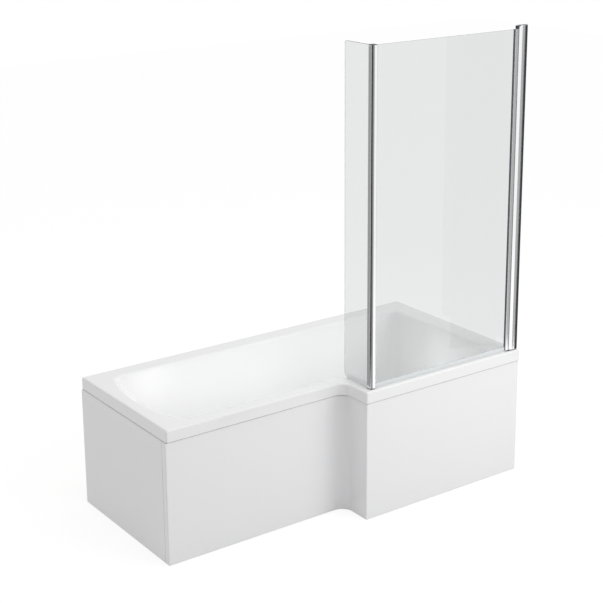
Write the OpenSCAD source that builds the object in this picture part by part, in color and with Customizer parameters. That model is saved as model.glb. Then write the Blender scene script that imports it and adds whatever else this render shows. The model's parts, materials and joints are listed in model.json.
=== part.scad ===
// L-shaped shower bath: acrylic tub, panels, cradle, waste and trap, and a hinged two-pane screen.
// The pieces are laid out in the room's own corner: X runs along the bath from the head end,
// Y runs back from the wide front face to the long wall, and Z is the height above the floor.
// placed() then moves the whole to the middle of its footprint.

/* [Bath] */
// Length of the rim from the head end to the shower end
bath_l = 1700; // [1600:5:1800]
// Width over the narrow bathing end
narrow_w = 700; // [680:5:750]
// Width over the wide showering end
wide_w = 850; // [820:5:900]
// Length of the wide showering end
wide_l = 850; // [800:5:900]
// Height of the rim above the floor
bath_h = 570; // [550:5:610]
// Depth of the tub from the rim to its floor
tub_d = 405; // [390:5:410]
// Height of the skirt that hangs from the rim
skirt_h = 50; // [40:1:60]
// Thickness of the reinforced acrylic
shell_t = 5; // [4:0.5:6]

/* [Rim] */
// Width of the flat rim along both front edges
rim_front = 63; // [58:1:75]
// Width of the flat rim along the long wall
rim_back = 85; // [75:1:100]
// Width of the flat rim at the middle of the head end
rim_head = 59; // [55:1:70]
// Width of the flat rim at the shower end
rim_shower = 102; // [90:1:115]
// Width of the flat rim along the step
rim_step = 65; // [60:1:75]
// How far the head end's inner edge bows out
head_bow = 55; // [30:1:60]
// Rounding of the rim's outer edge
rim_round = 9; // [5:0.5:12]
// Rounding of the rim's inner edge
edge_round = 14; // [10:1:18]
// Plan radius of the rim's outer corners
corner_round = 8; // [6:1:12]
// Plan radius in the inner angle of the step
step_fillet = 50; // [40:1:60]

/* [Tub walls] */
// Lean of the head end that the bather rests against, in degrees
head_lean = 24; // [18:1:28]
// Lean of the shower end wall, in degrees
shower_lean = 8; // [5:0.5:12]
// Lean of the side walls, in degrees
side_lean = 6.5; // [5:0.5:9]
// Radius between the side walls and the tub's floor
floor_round = 60; // [45:1:70]
// Radius between the head end and the tub's floor
head_round = 110; // [90:1:130]
// Plan radius of the tub's corners at the rim
tub_corner = 40; // [34:1:50]
// Growth of the corners' plan radius from the rim to the floor
corner_growth = 42; // [20:1:55]

/* [Panels] */
// Thickness of the panel sheet
panel_t = 3; // [2:0.5:4]
// How far the front panel's face lies behind the rim's face
front_inset = 5; // [3:0.5:8]
// How far the end panel's face stands proud of the rim's face
end_proud = 3; // [0:0.5:5]
// Shadow gap between the skirt and the panels
shadow_gap = 3; // [1:0.5:4]
// Width of the folded lips along the panels' top and bottom edges
panel_lip = 20; // [15:1:22]
// Rounding of the panels' outer edges
panel_round = 4; // [3:0.5:6]
// Return of the front panel round the head-end corner
panel_return = 27; // [26:1:40]
// Gap of the seam between the front panel and the end panel
seam_gap = 2; // [0.5:0.5:2]
// Gap between the panels' ends and the walls
wall_gap = 3; // [2:0.5:5]

/* [Timber] */
// Thickness of the timbers bonded under the rim
timber_t = 22; // [18:1:25]
// Thickness of the board under the tub's floor
board_t = 18; // [15:1:22]
// Height of the battens on the floor behind the panels
batten_h = 38; // [30:1:50]
// Thickness of the battens on the floor
batten_t = 25; // [18:1:30]

/* [Cradle] */
// Width of a cradle rail
rail_w = 30; // [26:1:40]
// Height of a cradle rail
rail_h = 25; // [20:1:30]
// Sheet thickness of the rails
rail_t = 2; // [1.5:0.5:3]
// Diameter of the threaded foot rods
rod_d = 10; // [8:1:12]
// Diameter of the foot pads
pad_d = 44; // [36:1:50]
// Height of the foot pads
pad_h = 24; // [18:1:28]
// Place of the head rail from the head end
head_rail_x = 480; // [460:5:520]
// Place of the middle rail from the head end
middle_rail_x = 860; // [800:5:900]
// Distance of the shower rail from the shower end
shower_rail_in = 270; // [255:5:300]
// Distance of the feet from the face of the bath in front of them
foot_in = 80; // [75:1:90]
// Distance of the back feet from the long wall
foot_back = 102; // [85:1:110]

/* [Waste] */
// Distance of the waste's centre from the shower end
waste_in = 443; // [430:1:460]
// Distance of the waste's centre from the wide front face
waste_y = 300; // [290:1:310]
// Diameter of the waste hole in the tub's floor
waste_hole_d = 52; // [50:1:54]
// Drop of the overflow's centre below the rim
overflow_drop = 90; // [80:1:110]
// Diameter of the overflow hole
overflow_hole_d = 48; // [46:1:50]
// Travel of the click plug
plug_travel = 9; // [6:1:11]
// Outer diameter of the trap's tube
trap_d = 43; // [40:1:44]
// Wall of the trap's tube
trap_wall = 2.5; // [2:0.5:3]
// Bend radius of the trap's centre line
trap_bend = 28; // [26:1:30]
// Bore of the trap's outlet socket, which takes a 43 mm waste pipe
outlet_bore_d = 43.5; // [43.2:0.1:44]

/* [Screen] */
// Height of the glass
glass_h = 1400; // [1300:10:1500]
// Thickness of the glass
glass_t = 6; // [5:1:8]
// Distance from the wide front face to the middle of the main pane
glass_y = 23; // [21:1:30]
// Gap between the rim and the glass
glass_lift = 4; // [3:0.5:6]
// Width of the screen from its outer corner to the end wall
screen_w = 820; // [780:5:825]
// Depth of the return pane, from its profile's face to its free edge
return_w = 184; // [150:1:190]
// Plan size of the corner profile along the main pane
corner_w = 25; // [22:1:30]
// Plan size of the corner profile along the return pane
corner_d = 27; // [25:1:30]
// Width of the post in front of the wall channel
post_w = 47; // [42:1:55]
// Depth of the post
post_d = 28; // [26:1:32]
// Height of the post above the glass
post_rise = 14; // [11:1:18]
// Radius of the hinge profile's barrel
barrel_r = 7.7; // [7.5:0.1:8]
// Distance from the barrel's axis to the hinge profile's glass edge
hinge_reach = 15; // [14:0.5:18]
// Depth of the glass in its profiles
glass_bite = 9.5; // [8:0.5:9.5]
// Height of the clear seals on the panes' bottom edges
seal_h = 20; // [15:1:25]
// Radius of the pivot pins
pin_r = 3; // [2.5:0.1:3.2]

/* [Hidden] */
$fn = 48;

// Clearances: a slip fit, a running fit on a pin, and the gap that a moving piece keeps
slip = 0.1;
running = 0.05;
clear_gap = 0.3;

// Plan of the bath
step_y = wide_w - narrow_w;
step_x = bath_l - wide_l;
tub_z = bath_h - tub_d;
skirt_z = bath_h - skirt_h;
under_z = tub_z - shell_t;
board_z = under_z - board_t;
panel_h = skirt_z - shadow_gap;
head_chord = rim_head + head_bow;
arc_steps = 6;
bow_steps = 9;

// Faces of the panels
end_face_x = -end_proud;
narrow_face_y = step_y + front_inset;
step_face_x = step_x + front_inset;
front_end_x = bath_l - wall_gap;
return_end_y = narrow_face_y + panel_return;

// Cradle
shower_rail_x = bath_l - shower_rail_in;
narrow_foot_y = step_y + foot_in;
back_foot_y = wide_w - foot_back;
FEET = [
    [head_rail_x, narrow_foot_y], [head_rail_x, back_foot_y],
    [middle_rail_x, narrow_foot_y], [middle_rail_x, back_foot_y],
    [shower_rail_x, foot_in], [shower_rail_x, back_foot_y]
];
rod_r = rod_d / 2;
rod_z = 5;
nut_h = 8;
nut_r = rod_d * 0.98;
rod_top = board_z + nut_h + 15;
board_past_head = 45;
board_past_shower = 35;
board_screw_in = 40;
board_x0 = head_rail_x - board_past_head;
board_x1 = shower_rail_x + board_past_shower;
board_in = 52;
board_notch_r = 60;
board_y0 = step_y + rim_front + floor_round + board_in;
board_y1 = wide_w - rim_back - floor_round - board_in;
board_ys = [board_y0 + board_screw_in, board_y1 - board_screw_in];
screw_r = 2.25;
screw_head_r = 4.5;
screw_head_h = 2.5;
pilot_l = 18;

// Waste and overflow
waste_x = bath_l - waste_in;
fan_past_waste = 60;
fan_y = waste_y + fan_past_waste;
seal_t = 1.5;
body_seal_t = 3;
throat_r = 22;
tail_r = waste_hole_d / 2 - 1.5;
tail_z = -24;
body_top = -shell_t - body_seal_t;
port_z = -40;
port_r = 16;
port_bore = 12.5;
port_reach = 75;
body_end = -84;
tail_thread_r = 23.9;
stem_r = 3;
cartridge_r = 6;
cartridge_top = -6;
cartridge_z = cartridge_top - 12 - 2 * plug_travel;
plug_base = seal_t + 3.7;
hub_z = -22;
hub_top = -14;
trap_r = trap_d / 2;
trap_bore = trap_r - trap_wall;
collar_z = body_end - 5;
bend_z = trap_bend + trap_r + 12 - tub_z;
outlet_y = 3 * trap_bend;
outlet_z = bend_z + trap_bend;
socket_y = outlet_y + 20;
socket_l = 38;
socket_r = outlet_bore_d / 2 + 5;
wall_y = rim_front + tan(side_lean) * overflow_drop;
overflow_r = overflow_hole_d / 2;
spigot_y = -shell_t - 20;
spigot_z = -58;

// Hose from the overflow down to the waste: a straight drop, one bend and a straight run
hose_bend = 90;
hose_bore = 12;
hose_root = 14;
hose_cuff = 32;
rib_pitch = 6;
hose_sides = 8;
hose_y0 = wall_y + spigot_y * cos(side_lean) - spigot_z * sin(side_lean);
hose_z0 = bath_h - overflow_drop + spigot_y * sin(side_lean) + spigot_z * cos(side_lean);
hose_z1 = tub_z + port_z;
hose_y1 = waste_y - port_reach;
hose_turn = 90 - side_lean;
hose_tangent = hose_bend * tan(hose_turn / 2);
hose_corner_y = hose_y0 + (hose_z0 - hose_z1) * tan(side_lean);
hose_drop = (hose_z0 - hose_z1) / cos(side_lean) - hose_tangent;
hose_arc = hose_bend * hose_turn * PI / 180;
hose_run = hose_y1 - hose_corner_y - hose_tangent;
hose_l = hose_drop + hose_arc + hose_run;
rib_count = floor((hose_l - 2 * hose_cuff) / rib_pitch);

// Screen
glass_z0 = bath_h + glass_lift;
glass_z1 = glass_z0 + glass_h;
corner_x = bath_l - screen_w;
corner_y = glass_y - glass_t / 2 - 6;
post_x = bath_l - 1 - post_w;
post_y = glass_y - 11;
post_wall = 2.5;
post_front_r = 45;
post_mid_x = post_x + post_w / 2;
post_end_x = post_x + post_w;
post_top = glass_z1 + post_rise;
cap_t = glass_lift - 1;
ear_in = post_wall + 2;
pin_cover = 2;
pin_top = post_top - pin_cover;
channel_t = 2;
channel_d = 28;
channel_y0 = post_y + post_front_r + clear_gap
    - sqrt(pow(post_front_r - post_wall, 2) - pow(bath_l - post_mid_x, 2));
channel_y1 = post_y + post_d - post_wall - clear_gap;
wall_hole_y = (channel_y0 + channel_y1) / 2;
axis_x = post_x - clear_gap - barrel_r;
hinge_x = axis_x - hinge_reach;
hinge_t = 2 * barrel_r - 0.6;
hinge_z0 = glass_z0 + 1;
hinge_z1 = glass_z1;
gasket_t = 1.2;
gasket_end = 0.3;
gasket_lip = 4;
bush_r = 4.2;
bush_flange_r = 5.1;
bush_h = 20;
return_x = corner_x + 9;
main_edge_x = hinge_x + glass_bite;
profile_round = 2;
corner_out_r = 12;
corner_cap_t = 2;
wall_hole_in = 90;
wall_hole_mid = 200;
wall_hole_z = [
    wall_hole_in, glass_h / 2 - wall_hole_mid, glass_h / 2 + wall_hole_mid, glass_h - wall_hole_in
];
post_screw_in = 140;
post_screw_x = bath_l - 14;
post_screw_z = [post_screw_in, glass_h / 2, glass_h - post_screw_in];

// Helpers

function round_dip(depth, r) =
    depth >= r ? 0 : r - sqrt(max(0, r * r - (r - depth) * (r - depth)));

function arc(cx, cy, r, from, to) =
    [for (i = [0:arc_steps]) let (a = from + (to - from) * i / arc_steps) [cx + r * cos(a), cy + r * sin(a)]];

// Pushes a point of the head end out along a shallow parabola between the two long sides
function bowed(p, bow, y0, y1) =
    [p.x - bow * max(0, 1 - pow((2 * p.y - y0 - y1) / (y1 - y0), 2)), p.y];

// Outline of the L at given distances inside the rim's outer faces, anticlockwise from the head end
function l_ring(head, shower, front, back, step, front_r, back_r, r, inner_r, bow) =
    let (
        x0 = head,
        x1 = bath_l - shower,
        xs = step_x + step,
        yw = front,
        yn = step_y + front,
        yb = wide_w - back,
        edge0 = yb - back_r,
        edge1 = yn + front_r
    )
    concat(
        [for (p = arc(x0 + front_r, yn + front_r, front_r, 180, 270)) bowed(p, bow, yn, yb)],
        arc(xs - inner_r, yn - inner_r, inner_r, 90, 0),
        arc(xs + r, yw + r, r, 180, 270),
        arc(x1 - r, yw + r, r, 270, 360),
        arc(x1 - r, yb - r, r, 0, 90),
        [for (p = arc(x0 + back_r, yb - back_r, back_r, 90, 180)) bowed(p, bow, yn, yb)],
        [for (i = [1:bow_steps - 1]) bowed([x0, edge0 + (edge1 - edge0) * i / bow_steps], bow, yn, yb)]
    );

// Outline of the rim and skirt at one distance inside their outer face
function rim_ring(inset) =
    let (r = max(corner_round - inset, 1))
    l_ring(inset, inset, inset, inset, inset, r, r, r, step_fillet + inset, 0);

// Distance of a tub wall inside the rim's face: the lean, the rounded rim edge and the rounded foot.
// Skin 0 is the side that the bather touches, and the wall's thickness gives the hidden side.
function wall_inset(width, lean, foot, skin, z) =
    width - skin + tan(lean) * (bath_h - z)
    - round_dip(bath_h - skin - z, edge_round - skin)
    + round_dip(z - tub_z + skin, foot + skin);

function tub_ring(skin, z) =
    let (
        depth = (bath_h - z) / tub_d,
        foot = round_dip(z - tub_z + skin, floor_round + skin),
        grow = corner_growth * depth - 0.6 * foot + skin
    )
    l_ring(
        wall_inset(head_chord, head_lean, head_round, skin, z),
        wall_inset(rim_shower, shower_lean, floor_round, skin, z),
        wall_inset(rim_front, side_lean, floor_round, skin, z),
        wall_inset(rim_back, side_lean, floor_round, skin, z),
        wall_inset(rim_step, side_lean, floor_round, skin, z),
        tub_corner + 10 + grow,
        tub_corner - 8 + grow,
        tub_corner + grow,
        step_fillet + 10 + foot - skin,
        head_bow * (1 - 0.25 * depth)
    );

function at_height(ring, z) = [for (p = ring) [p.x, p.y, z]];

// Solid skin over rows of points, closed at both ends with a fan about a middle point
module fan_skin(rows, first_mid, last_mid) {
    n = len(rows[0]);
    m = len(rows);
    points = concat([for (row = rows) for (p = row) p], [first_mid, last_mid]);
    faces = concat(
        [for (i = [0:m - 2]) for (j = [0:n - 1])
            [i * n + j, i * n + (j + 1) % n, (i + 1) * n + (j + 1) % n]],
        [for (i = [0:m - 2]) for (j = [0:n - 1])
            [i * n + j, (i + 1) * n + (j + 1) % n, (i + 1) * n + j]],
        [for (j = [0:n - 1]) [m * n, (j + 1) % n, j]],
        [for (j = [0:n - 1]) [m * n + 1, (m - 1) * n + j, (m - 1) * n + (j + 1) % n]]
    );
    polyhedron(points, faces, convexity = 8);
}

// Solid skin over rows of points that are flat at both ends
module flat_skin(rows) {
    n = len(rows[0]);
    m = len(rows);
    faces = concat(
        [for (i = [0:m - 2]) for (j = [0:n - 1])
            [i * n + j, i * n + (j + 1) % n, (i + 1) * n + (j + 1) % n]],
        [for (i = [0:m - 2]) for (j = [0:n - 1])
            [i * n + j, (i + 1) * n + (j + 1) % n, (i + 1) * n + j]],
        [[for (j = [n - 1:-1:0]) j]],
        [[for (j = [0:n - 1]) (m - 1) * n + j]]
    );
    polyhedron([for (row = rows) for (p = row) p], faces, convexity = 8);
}

module placed() {
    translate([-(bath_l + end_face_x) / 2, -wide_w / 2, 0]) children();
}

module box(low, high) {
    translate(low) cube(high - low);
}

module round_rect(low, high, r) {
    translate([low.x + r, low.y]) square([high.x - low.x - 2 * r, high.y - low.y]);
    translate([low.x, low.y + r]) square([high.x - low.x, high.y - low.y - 2 * r]);
    for (x = [low.x + r, high.x - r])
        for (y = [low.y + r, high.y - r])
            translate([x, y]) circle(r);
}

module ring(r_out, r_in, z0, z1) {
    translate([0, 0, z0]) difference() {
        cylinder(r = r_out, h = z1 - z0);
        translate([0, 0, -1]) cylinder(r = r_in, h = z1 - z0 + 2);
    }
}

// Pan-head screw that points up from the face its head bears on
module screw(l) {
    cylinder(r = screw_r, h = l);
    translate([0, 0, -screw_head_h]) cylinder(r = screw_head_r, h = screw_head_h);
}

module at_waste() {
    translate([waste_x, waste_y, tub_z]) children();
}

// Frame of the overflow, square to the leaning wall, with +Y into the tub
module at_overflow() {
    translate([waste_x, wall_y, bath_h - overflow_drop]) rotate([side_lean, 0, 0]) children();
}

// Turns an upright shape so that its top points along +Y
module lay_back() {
    rotate([-90, 0, 0]) children();
}

// Tub

// Heights of the rows down a tub wall: its rounded edge, its straight stretch and its rounded foot
function wall_rows(skin, straight, foot_steps) =
    let (
        top = bath_h - skin,
        bottom = tub_z - skin,
        edge = edge_round - skin,
        foot = head_round + skin
    )
    concat(
        [for (a = [0:22.5:90]) top - edge * (1 - cos(a))],
        [for (i = [1:straight]) top - edge - (top - edge - bottom - foot) * i / straight],
        [for (i = [1:foot_steps]) bottom + foot * (1 - cos(90 - 90 * i / foot_steps))]
    );

module bath_shell() {
    inside = wall_rows(0, 3, 9);
    outside = wall_rows(shell_t, 2, 7);
    rows = concat(
        [for (i = [len(inside) - 1:-1:0]) at_height(tub_ring(0, inside[i]), inside[i])],
        [for (a = [0:18:90])
            at_height(rim_ring(rim_round * (1 - sin(a))), bath_h - rim_round * (1 - cos(a)))],
        [at_height(rim_ring(0), skirt_z), at_height(rim_ring(shell_t), skirt_z)],
        [at_height(rim_ring(shell_t), bath_h - shell_t)],
        [for (z = outside) at_height(tub_ring(shell_t, z), z)]
    );
    color("white") difference() {
        fan_skin(rows, [waste_x, fan_y, tub_z], [waste_x, fan_y, under_z]);
        at_waste() translate([0, 0, -shell_t - 1]) cylinder(d = waste_hole_d, h = shell_t + 2);
        at_overflow() lay_back() translate([0, 0, -shell_t - 3]) cylinder(r = overflow_r, h = shell_t + 6);
    }
}

module baseboard() {
    color("burlywood") difference() {
        box([board_x0, board_y0, board_z], [board_x1, board_y1, under_z]);
        at_waste() translate([0, 0, -shell_t - board_t - 1]) cylinder(r = board_notch_r, h = board_t + 2);
        box(
            [waste_x - board_notch_r, board_y0 - 1, board_z - 1],
            [waste_x + board_notch_r, waste_y, under_z + 1]
        );
        for (x = [head_rail_x, middle_rail_x, shower_rail_x])
            for (y = board_ys)
                translate([x, y, board_z - 1]) cylinder(r = screw_r + slip, h = board_t - 3);
    }
}

// Timbers bonded in the angle of the rim and its skirt

module pilot_hole() {
    cylinder(r = screw_r + slip, h = pilot_l);
}

module rim_timber(low, high) {
    color("tan") difference() {
        box([low.x, low.y, skirt_z], [high.x, high.y, bath_h - shell_t]);
        at_clips() translate([0, 1, clip_up / 2]) rotate([90, 0, 0]) pilot_hole();
        at_brackets() translate([0, -bracket_leg + timber_t / 2, -1]) pilot_hole();
    }
}

timber_in = 40;
timber_gap = 13;
fillet_clear = 20;
timber_back_y = wide_w - shell_t - timber_t;
timber_shower_x = bath_l - shell_t - timber_t;

module back_timber() {
    rim_timber([shell_t + timber_in, timber_back_y], [timber_shower_x - timber_gap, wide_w - shell_t]);
}

module head_timber() {
    rim_timber([shell_t, step_y + timber_in + 10], [shell_t + timber_t, timber_back_y - timber_gap]);
}

module shower_timber() {
    rim_timber([timber_shower_x, timber_in], [bath_l - shell_t, timber_back_y - timber_gap]);
}

module narrow_timber() {
    rim_timber(
        [shell_t + timber_in, step_y + shell_t],
        [step_x - step_fillet - fillet_clear, step_y + shell_t + timber_t]
    );
}

module wide_timber() {
    rim_timber([step_x + 25, shell_t], [timber_shower_x - 13, shell_t + timber_t]);
}

// Cradle

module rail(x, y0, y1) {
    color("lightgray") difference() {
        box([x - rail_w / 2, y0 - 18, board_z - rail_h], [x + rail_w / 2, y1 + 18, board_z]);
        box(
            [x - rail_w / 2 + rail_t, y0 - 19, board_z - rail_h - 1],
            [x + rail_w / 2 - rail_t, y1 + 19, board_z - rail_t]
        );
        for (y = [y0, y1])
            translate([x, y, board_z - rail_t - 1]) cylinder(r = rod_r + 0.5, h = rail_t + 2);
        for (y = board_ys)
            translate([x, y, board_z - rail_t - 1]) cylinder(r = screw_r + slip, h = rail_t + 2);
    }
}

module head_rail() {
    rail(head_rail_x, narrow_foot_y, back_foot_y);
}

module middle_rail() {
    rail(middle_rail_x, narrow_foot_y, back_foot_y);
}

module shower_rail() {
    rail(shower_rail_x, foot_in, back_foot_y);
}

module rail_screws() {
    color("silver")
        for (x = [head_rail_x, middle_rail_x, shower_rail_x])
            for (y = board_ys)
                translate([x, y, board_z - rail_t]) screw(rail_t + board_t - 6);
}

// One nut above and one below the web of the rail at each rod
module lock_nuts() {
    color("silver")
        for (foot = FEET)
            for (z = [board_z, board_z - rail_t - nut_h])
                translate([foot.x, foot.y, z]) difference() {
                    cylinder(r = nut_r, h = nut_h, $fn = 6);
                    translate([0, 0, -1]) cylinder(r = rod_r + clear_gap, h = nut_h + 2);
                }
}

module foot_rod(i) {
    color("silver") translate([FEET[i].x, FEET[i].y, rod_z]) cylinder(r = rod_r, h = rod_top - rod_z);
}

// Moulded pad with a wide foot, a tapering neck and a socket for the rod
module foot_pad(i) {
    color("dimgray") translate([FEET[i].x, FEET[i].y, 0]) difference() {
        rotate_extrude() polygon([
            [0, 0], [pad_d / 2 - 1, 0], [pad_d / 2, 1], [pad_d / 2, 5],
            [rod_r + 6, 10], [rod_r + 4, pad_h], [0, pad_h]
        ]);
        translate([0, 0, rod_z]) cylinder(r = rod_r + slip, h = pad_h);
    }
}

// Panels

// Section of a panel sheet with folded lips: x is the distance behind its face, y its height
function panel_section() = concat(
    [[0, panel_round]],
    [for (a = [0:22.5:90]) [panel_round * (1 - cos(a)), panel_h - panel_round * (1 - sin(a))]],
    [[panel_lip, panel_h], [panel_lip, panel_h - panel_t], [panel_t, panel_h - panel_t]],
    [[panel_t, panel_t], [panel_lip, panel_t], [panel_lip, 0]],
    [for (a = [0:30:60]) [panel_round * (1 - sin(a)), panel_round * (1 - cos(a))]]
);

// Path of the front panel at a distance behind its face: return, narrow face, step and wide face
function front_path(inset) =
    let (r = max(panel_round - inset, 0.5))
    concat(
        [[end_face_x + inset, return_end_y]],
        arc(end_face_x + inset + r, narrow_face_y + inset + r, r, 180, 270),
        arc(step_face_x - step_fillet, narrow_face_y - step_fillet, step_fillet + inset, 90, 0),
        arc(step_face_x + inset + r, front_inset + inset + r, r, 180, 270),
        [[front_end_x, front_inset + inset]]
    );

module front_panel() {
    section = panel_section();
    paths = [for (p = section) front_path(p.x)];
    color("white") flat_skin([
        for (i = [0:len(paths[0]) - 1])
            [for (k = [0:len(section) - 1]) [paths[k][i].x, paths[k][i].y, section[k].y]]
    ]);
}

module end_panel() {
    y0 = return_end_y + seam_gap;
    y1 = wide_w - wall_gap;
    color("white") translate([end_face_x, y1, 0]) rotate([90, 0, 0]) linear_extrude(y1 - y0)
        polygon(panel_section());
}

batten_past_seam = 40;
batten_off_wall = 50;
batten_gap = 15;
batten_past_step = 25;
batten_end_in = 20;

module floor_battens() {
    narrow_y = narrow_face_y + panel_lip;
    wide_y = front_inset + panel_lip;
    end_x = end_face_x + panel_lip;
    color("tan") {
        box(
            [end_x + batten_t + batten_gap, narrow_y, 0],
            [step_face_x - step_fillet - fillet_clear, narrow_y + batten_t, batten_h]
        );
        box(
            [step_face_x + panel_lip + batten_past_step, wide_y, 0],
            [front_end_x - batten_end_in, wide_y + batten_t, batten_h]
        );
        box(
            [end_x, return_end_y + batten_past_seam, 0],
            [end_x + batten_t, wide_w - batten_off_wall, batten_h]
        );
    }
}

// Spring-steel clip on the back of a rim timber. Its lip holds the panel's top lip from below.
clip_t = 1.5;
clip_w = 40;
clip_up = 30;
clip_in = 200;
end_clip_in = 170;

module clip(reach) {
    lip_z = -shadow_gap - panel_t;
    box([-clip_w / 2, 0, lip_z - clip_t], [clip_w / 2, clip_t, 0]);
    box([-clip_w / 2, -reach, lip_z - clip_t], [clip_w / 2, clip_t, lip_z]);
    difference() {
        box([-clip_w / 2, 0, 0], [clip_w / 2, clip_t, clip_up]);
        translate([0, -1, clip_up / 2]) lay_back() cylinder(r = screw_r + slip, h = clip_t + 2);
    }
}

module at_clips() {
    front_reach = timber_t + shell_t - front_inset - 5;
    for (x = [clip_in, step_x - clip_in])
        translate([x, step_y + shell_t + timber_t, skirt_z]) {
            $reach = front_reach;
            children();
        }
    for (x = [step_x + clip_in, bath_l - clip_in])
        translate([x, shell_t + timber_t, skirt_z]) {
            $reach = front_reach;
            children();
        }
    for (y = [step_y + end_clip_in, wide_w - end_clip_in])
        translate([shell_t + timber_t, y, skirt_z]) rotate([0, 0, -90]) {
            $reach = shell_t + timber_t + end_proud - 5;
            children();
        }
}

module panel_clips() {
    color("silver") at_clips() clip($reach);
}

module clip_screws() {
    color("silver") at_clips()
        translate([0, clip_t, clip_up / 2]) rotate([90, 0, 0]) screw(clip_t + 12);
}

// Steel angles that hold the rim to the walls: one leg on the wall, one under the rim timber
bracket_w = 60;
bracket_t = 3;
bracket_drop = 50;
bracket_hole_r = 3;
bracket_spacing = 36;
bracket_in = 420;
bracket_leg = shell_t + timber_t;

module bracket() {
    difference() {
        union() {
            box([-bracket_w / 2, -bracket_leg, -bracket_t], [bracket_w / 2, 0, 0]);
            box([-bracket_w / 2, -bracket_t, -bracket_drop], [bracket_w / 2, 0, 0]);
        }
        for (x = [-bracket_spacing / 2, bracket_spacing / 2])
            translate([x, -bracket_t - 1, -bracket_drop / 2]) lay_back()
                cylinder(r = bracket_hole_r, h = bracket_t + 2);
        translate([0, -shell_t - timber_t / 2, -bracket_t - 1])
            cylinder(r = screw_r + slip, h = bracket_t + 2);
    }
}

module at_brackets() {
    for (x = [bracket_in, bath_l - bracket_in])
        translate([x, wide_w, skirt_z]) children();
    translate([bath_l, wide_w / 2, skirt_z]) rotate([0, 0, -90]) children();
}

module wall_brackets() {
    color("silver") at_brackets() bracket();
}

module bracket_screws() {
    color("silver") at_brackets()
        translate([0, -shell_t - timber_t / 2, -bracket_t]) screw(bracket_t + 14);
}

// Waste, in the frame of its hole with z = 0 on the tub's floor

module waste_flange() {
    color("silver") at_waste() {
        rotate_extrude() polygon([
            [throat_r, tail_z], [tail_r, tail_z], [tail_r, seal_t], [35, seal_t], [35, seal_t + 1.2],
            [33, seal_t + 2.8], [29, seal_t + 3.1], [tail_r, seal_t + 0.7], [throat_r, -2]
        ]);
        ring(cartridge_r + 2.5, cartridge_r + slip, hub_z, hub_top);
        for (a = [0:120:240])
            rotate([0, 0, a]) box([cartridge_r + 2, -1.5, hub_z], [throat_r + 0.5, 1.5, hub_top]);
    }
}

module waste_flange_seal() {
    color("dimgray") at_waste() ring(34, waste_hole_d / 2 + slip, 0, seal_t);
}

module waste_body_seal() {
    color("dimgray") at_waste() ring(40, waste_hole_d / 2 + 1, body_top, -shell_t);
}

module waste_body() {
    color("whitesmoke") at_waste() difference() {
        union() {
            rotate_extrude() polygon([
                [0, body_top], [40, body_top], [40, body_top - 5], [30, body_top - 5], [30, body_end + 22],
                [tail_thread_r, body_end + 16], [tail_thread_r, body_end], [0, body_end]
            ]);
            translate([0, 0, port_z]) rotate([90, 0, 0]) cylinder(r = port_r, h = port_reach);
        }
        rotate_extrude() polygon([
            [0, body_top + 1], [tail_r + 0.5, body_top + 1], [tail_r + 0.5, body_end + 24],
            [trap_bore, body_end + 16], [trap_bore, body_end - 1], [0, body_end - 1]
        ]);
        translate([0, 0, port_z]) rotate([90, 0, 0]) cylinder(r = port_bore, h = port_reach + 1);
    }
}

module plug_cartridge() {
    color("goldenrod") at_waste() difference() {
        union() {
            translate([0, 0, cartridge_z]) cylinder(r = cartridge_r, h = cartridge_top - cartridge_z);
            translate([0, 0, hub_top]) cylinder(r = cartridge_r + 2.5, h = 2);
        }
        translate([0, 0, cartridge_z + 3]) cylinder(r = stem_r + running, h = cartridge_top - cartridge_z);
    }
}

// Domed plug over a straight stem. The cap's top follows a circular arc of the given rise.
module waste_plug() {
    plug_r = 27;
    rise = 3.4;
    edge = 0.6;
    dome_r = (plug_r * plug_r + rise * rise) / (2 * rise);
    dome_steps = 8;
    stem_z = cartridge_z + 4;
    color("silver") at_waste() rotate_extrude() polygon(concat(
        [[0, stem_z], [stem_r, stem_z], [stem_r, plug_base], [plug_r, plug_base]],
        [for (i = [0:dome_steps]) let (x = plug_r * (1 - i / dome_steps))
            [x, plug_base + edge + rise - dome_r + sqrt(dome_r * dome_r - x * x)]]
    ));
}

module plug_seal() {
    lip_r = tail_r - clear_gap;
    color("dimgray") at_waste() rotate_extrude() polygon([
        [stem_r + slip, plug_base - 2.2], [lip_r - 1.7, plug_base - 2.2], [lip_r, plug_base - 1.2],
        [lip_r, plug_base], [stem_r + slip, plug_base]
    ]);
}

// Overflow, in the frame of its hole with y = 0 on the tub's wall

module overflow_rosette() {
    color("silver") at_overflow() lay_back() difference() {
        union() {
            ring(34, 31, 0.2, 10);
            translate([0, 0, 8]) cylinder(r = 32, h = 2);
            ring(overflow_r - 3.3, overflow_r - 5.5, -8, 9);
        }
        for (a = [0:45:315])
            rotate([0, 0, a]) box([-5, 28, -1], [5, 36, 5]);
        for (a = [22.5:45:337.5])
            rotate([0, 0, a]) box([-4, overflow_r - 6.5, 1], [4, overflow_r - 2, 7]);
    }
}

module overflow_seal() {
    color("dimgray") at_overflow() lay_back() ring(33, overflow_r + 0.5, -shell_t - 3, -shell_t);
}

module overflow_elbow() {
    wall = 3;
    back = -shell_t - 12 * wall;
    face = -shell_t - wall;
    color("whitesmoke") at_overflow() difference() {
        union() {
            lay_back() translate([0, 0, face - wall]) cylinder(r = 34, h = wall);
            lay_back() translate([0, 0, back]) cylinder(r = 27, h = face - back);
            lay_back() translate([0, 0, face - 1])
                cylinder(r = overflow_r - 0.5, h = 1 + wall + shell_t);
            translate([0, spigot_y, spigot_z]) cylinder(r = port_r, h = -spigot_z);
        }
        lay_back() translate([0, 0, back + wall]) cylinder(r = overflow_r - wall, h = 5 - back);
        translate([0, spigot_y, spigot_z - 1]) cylinder(r = port_bore, h = 1 - spigot_z);
    }
}

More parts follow.
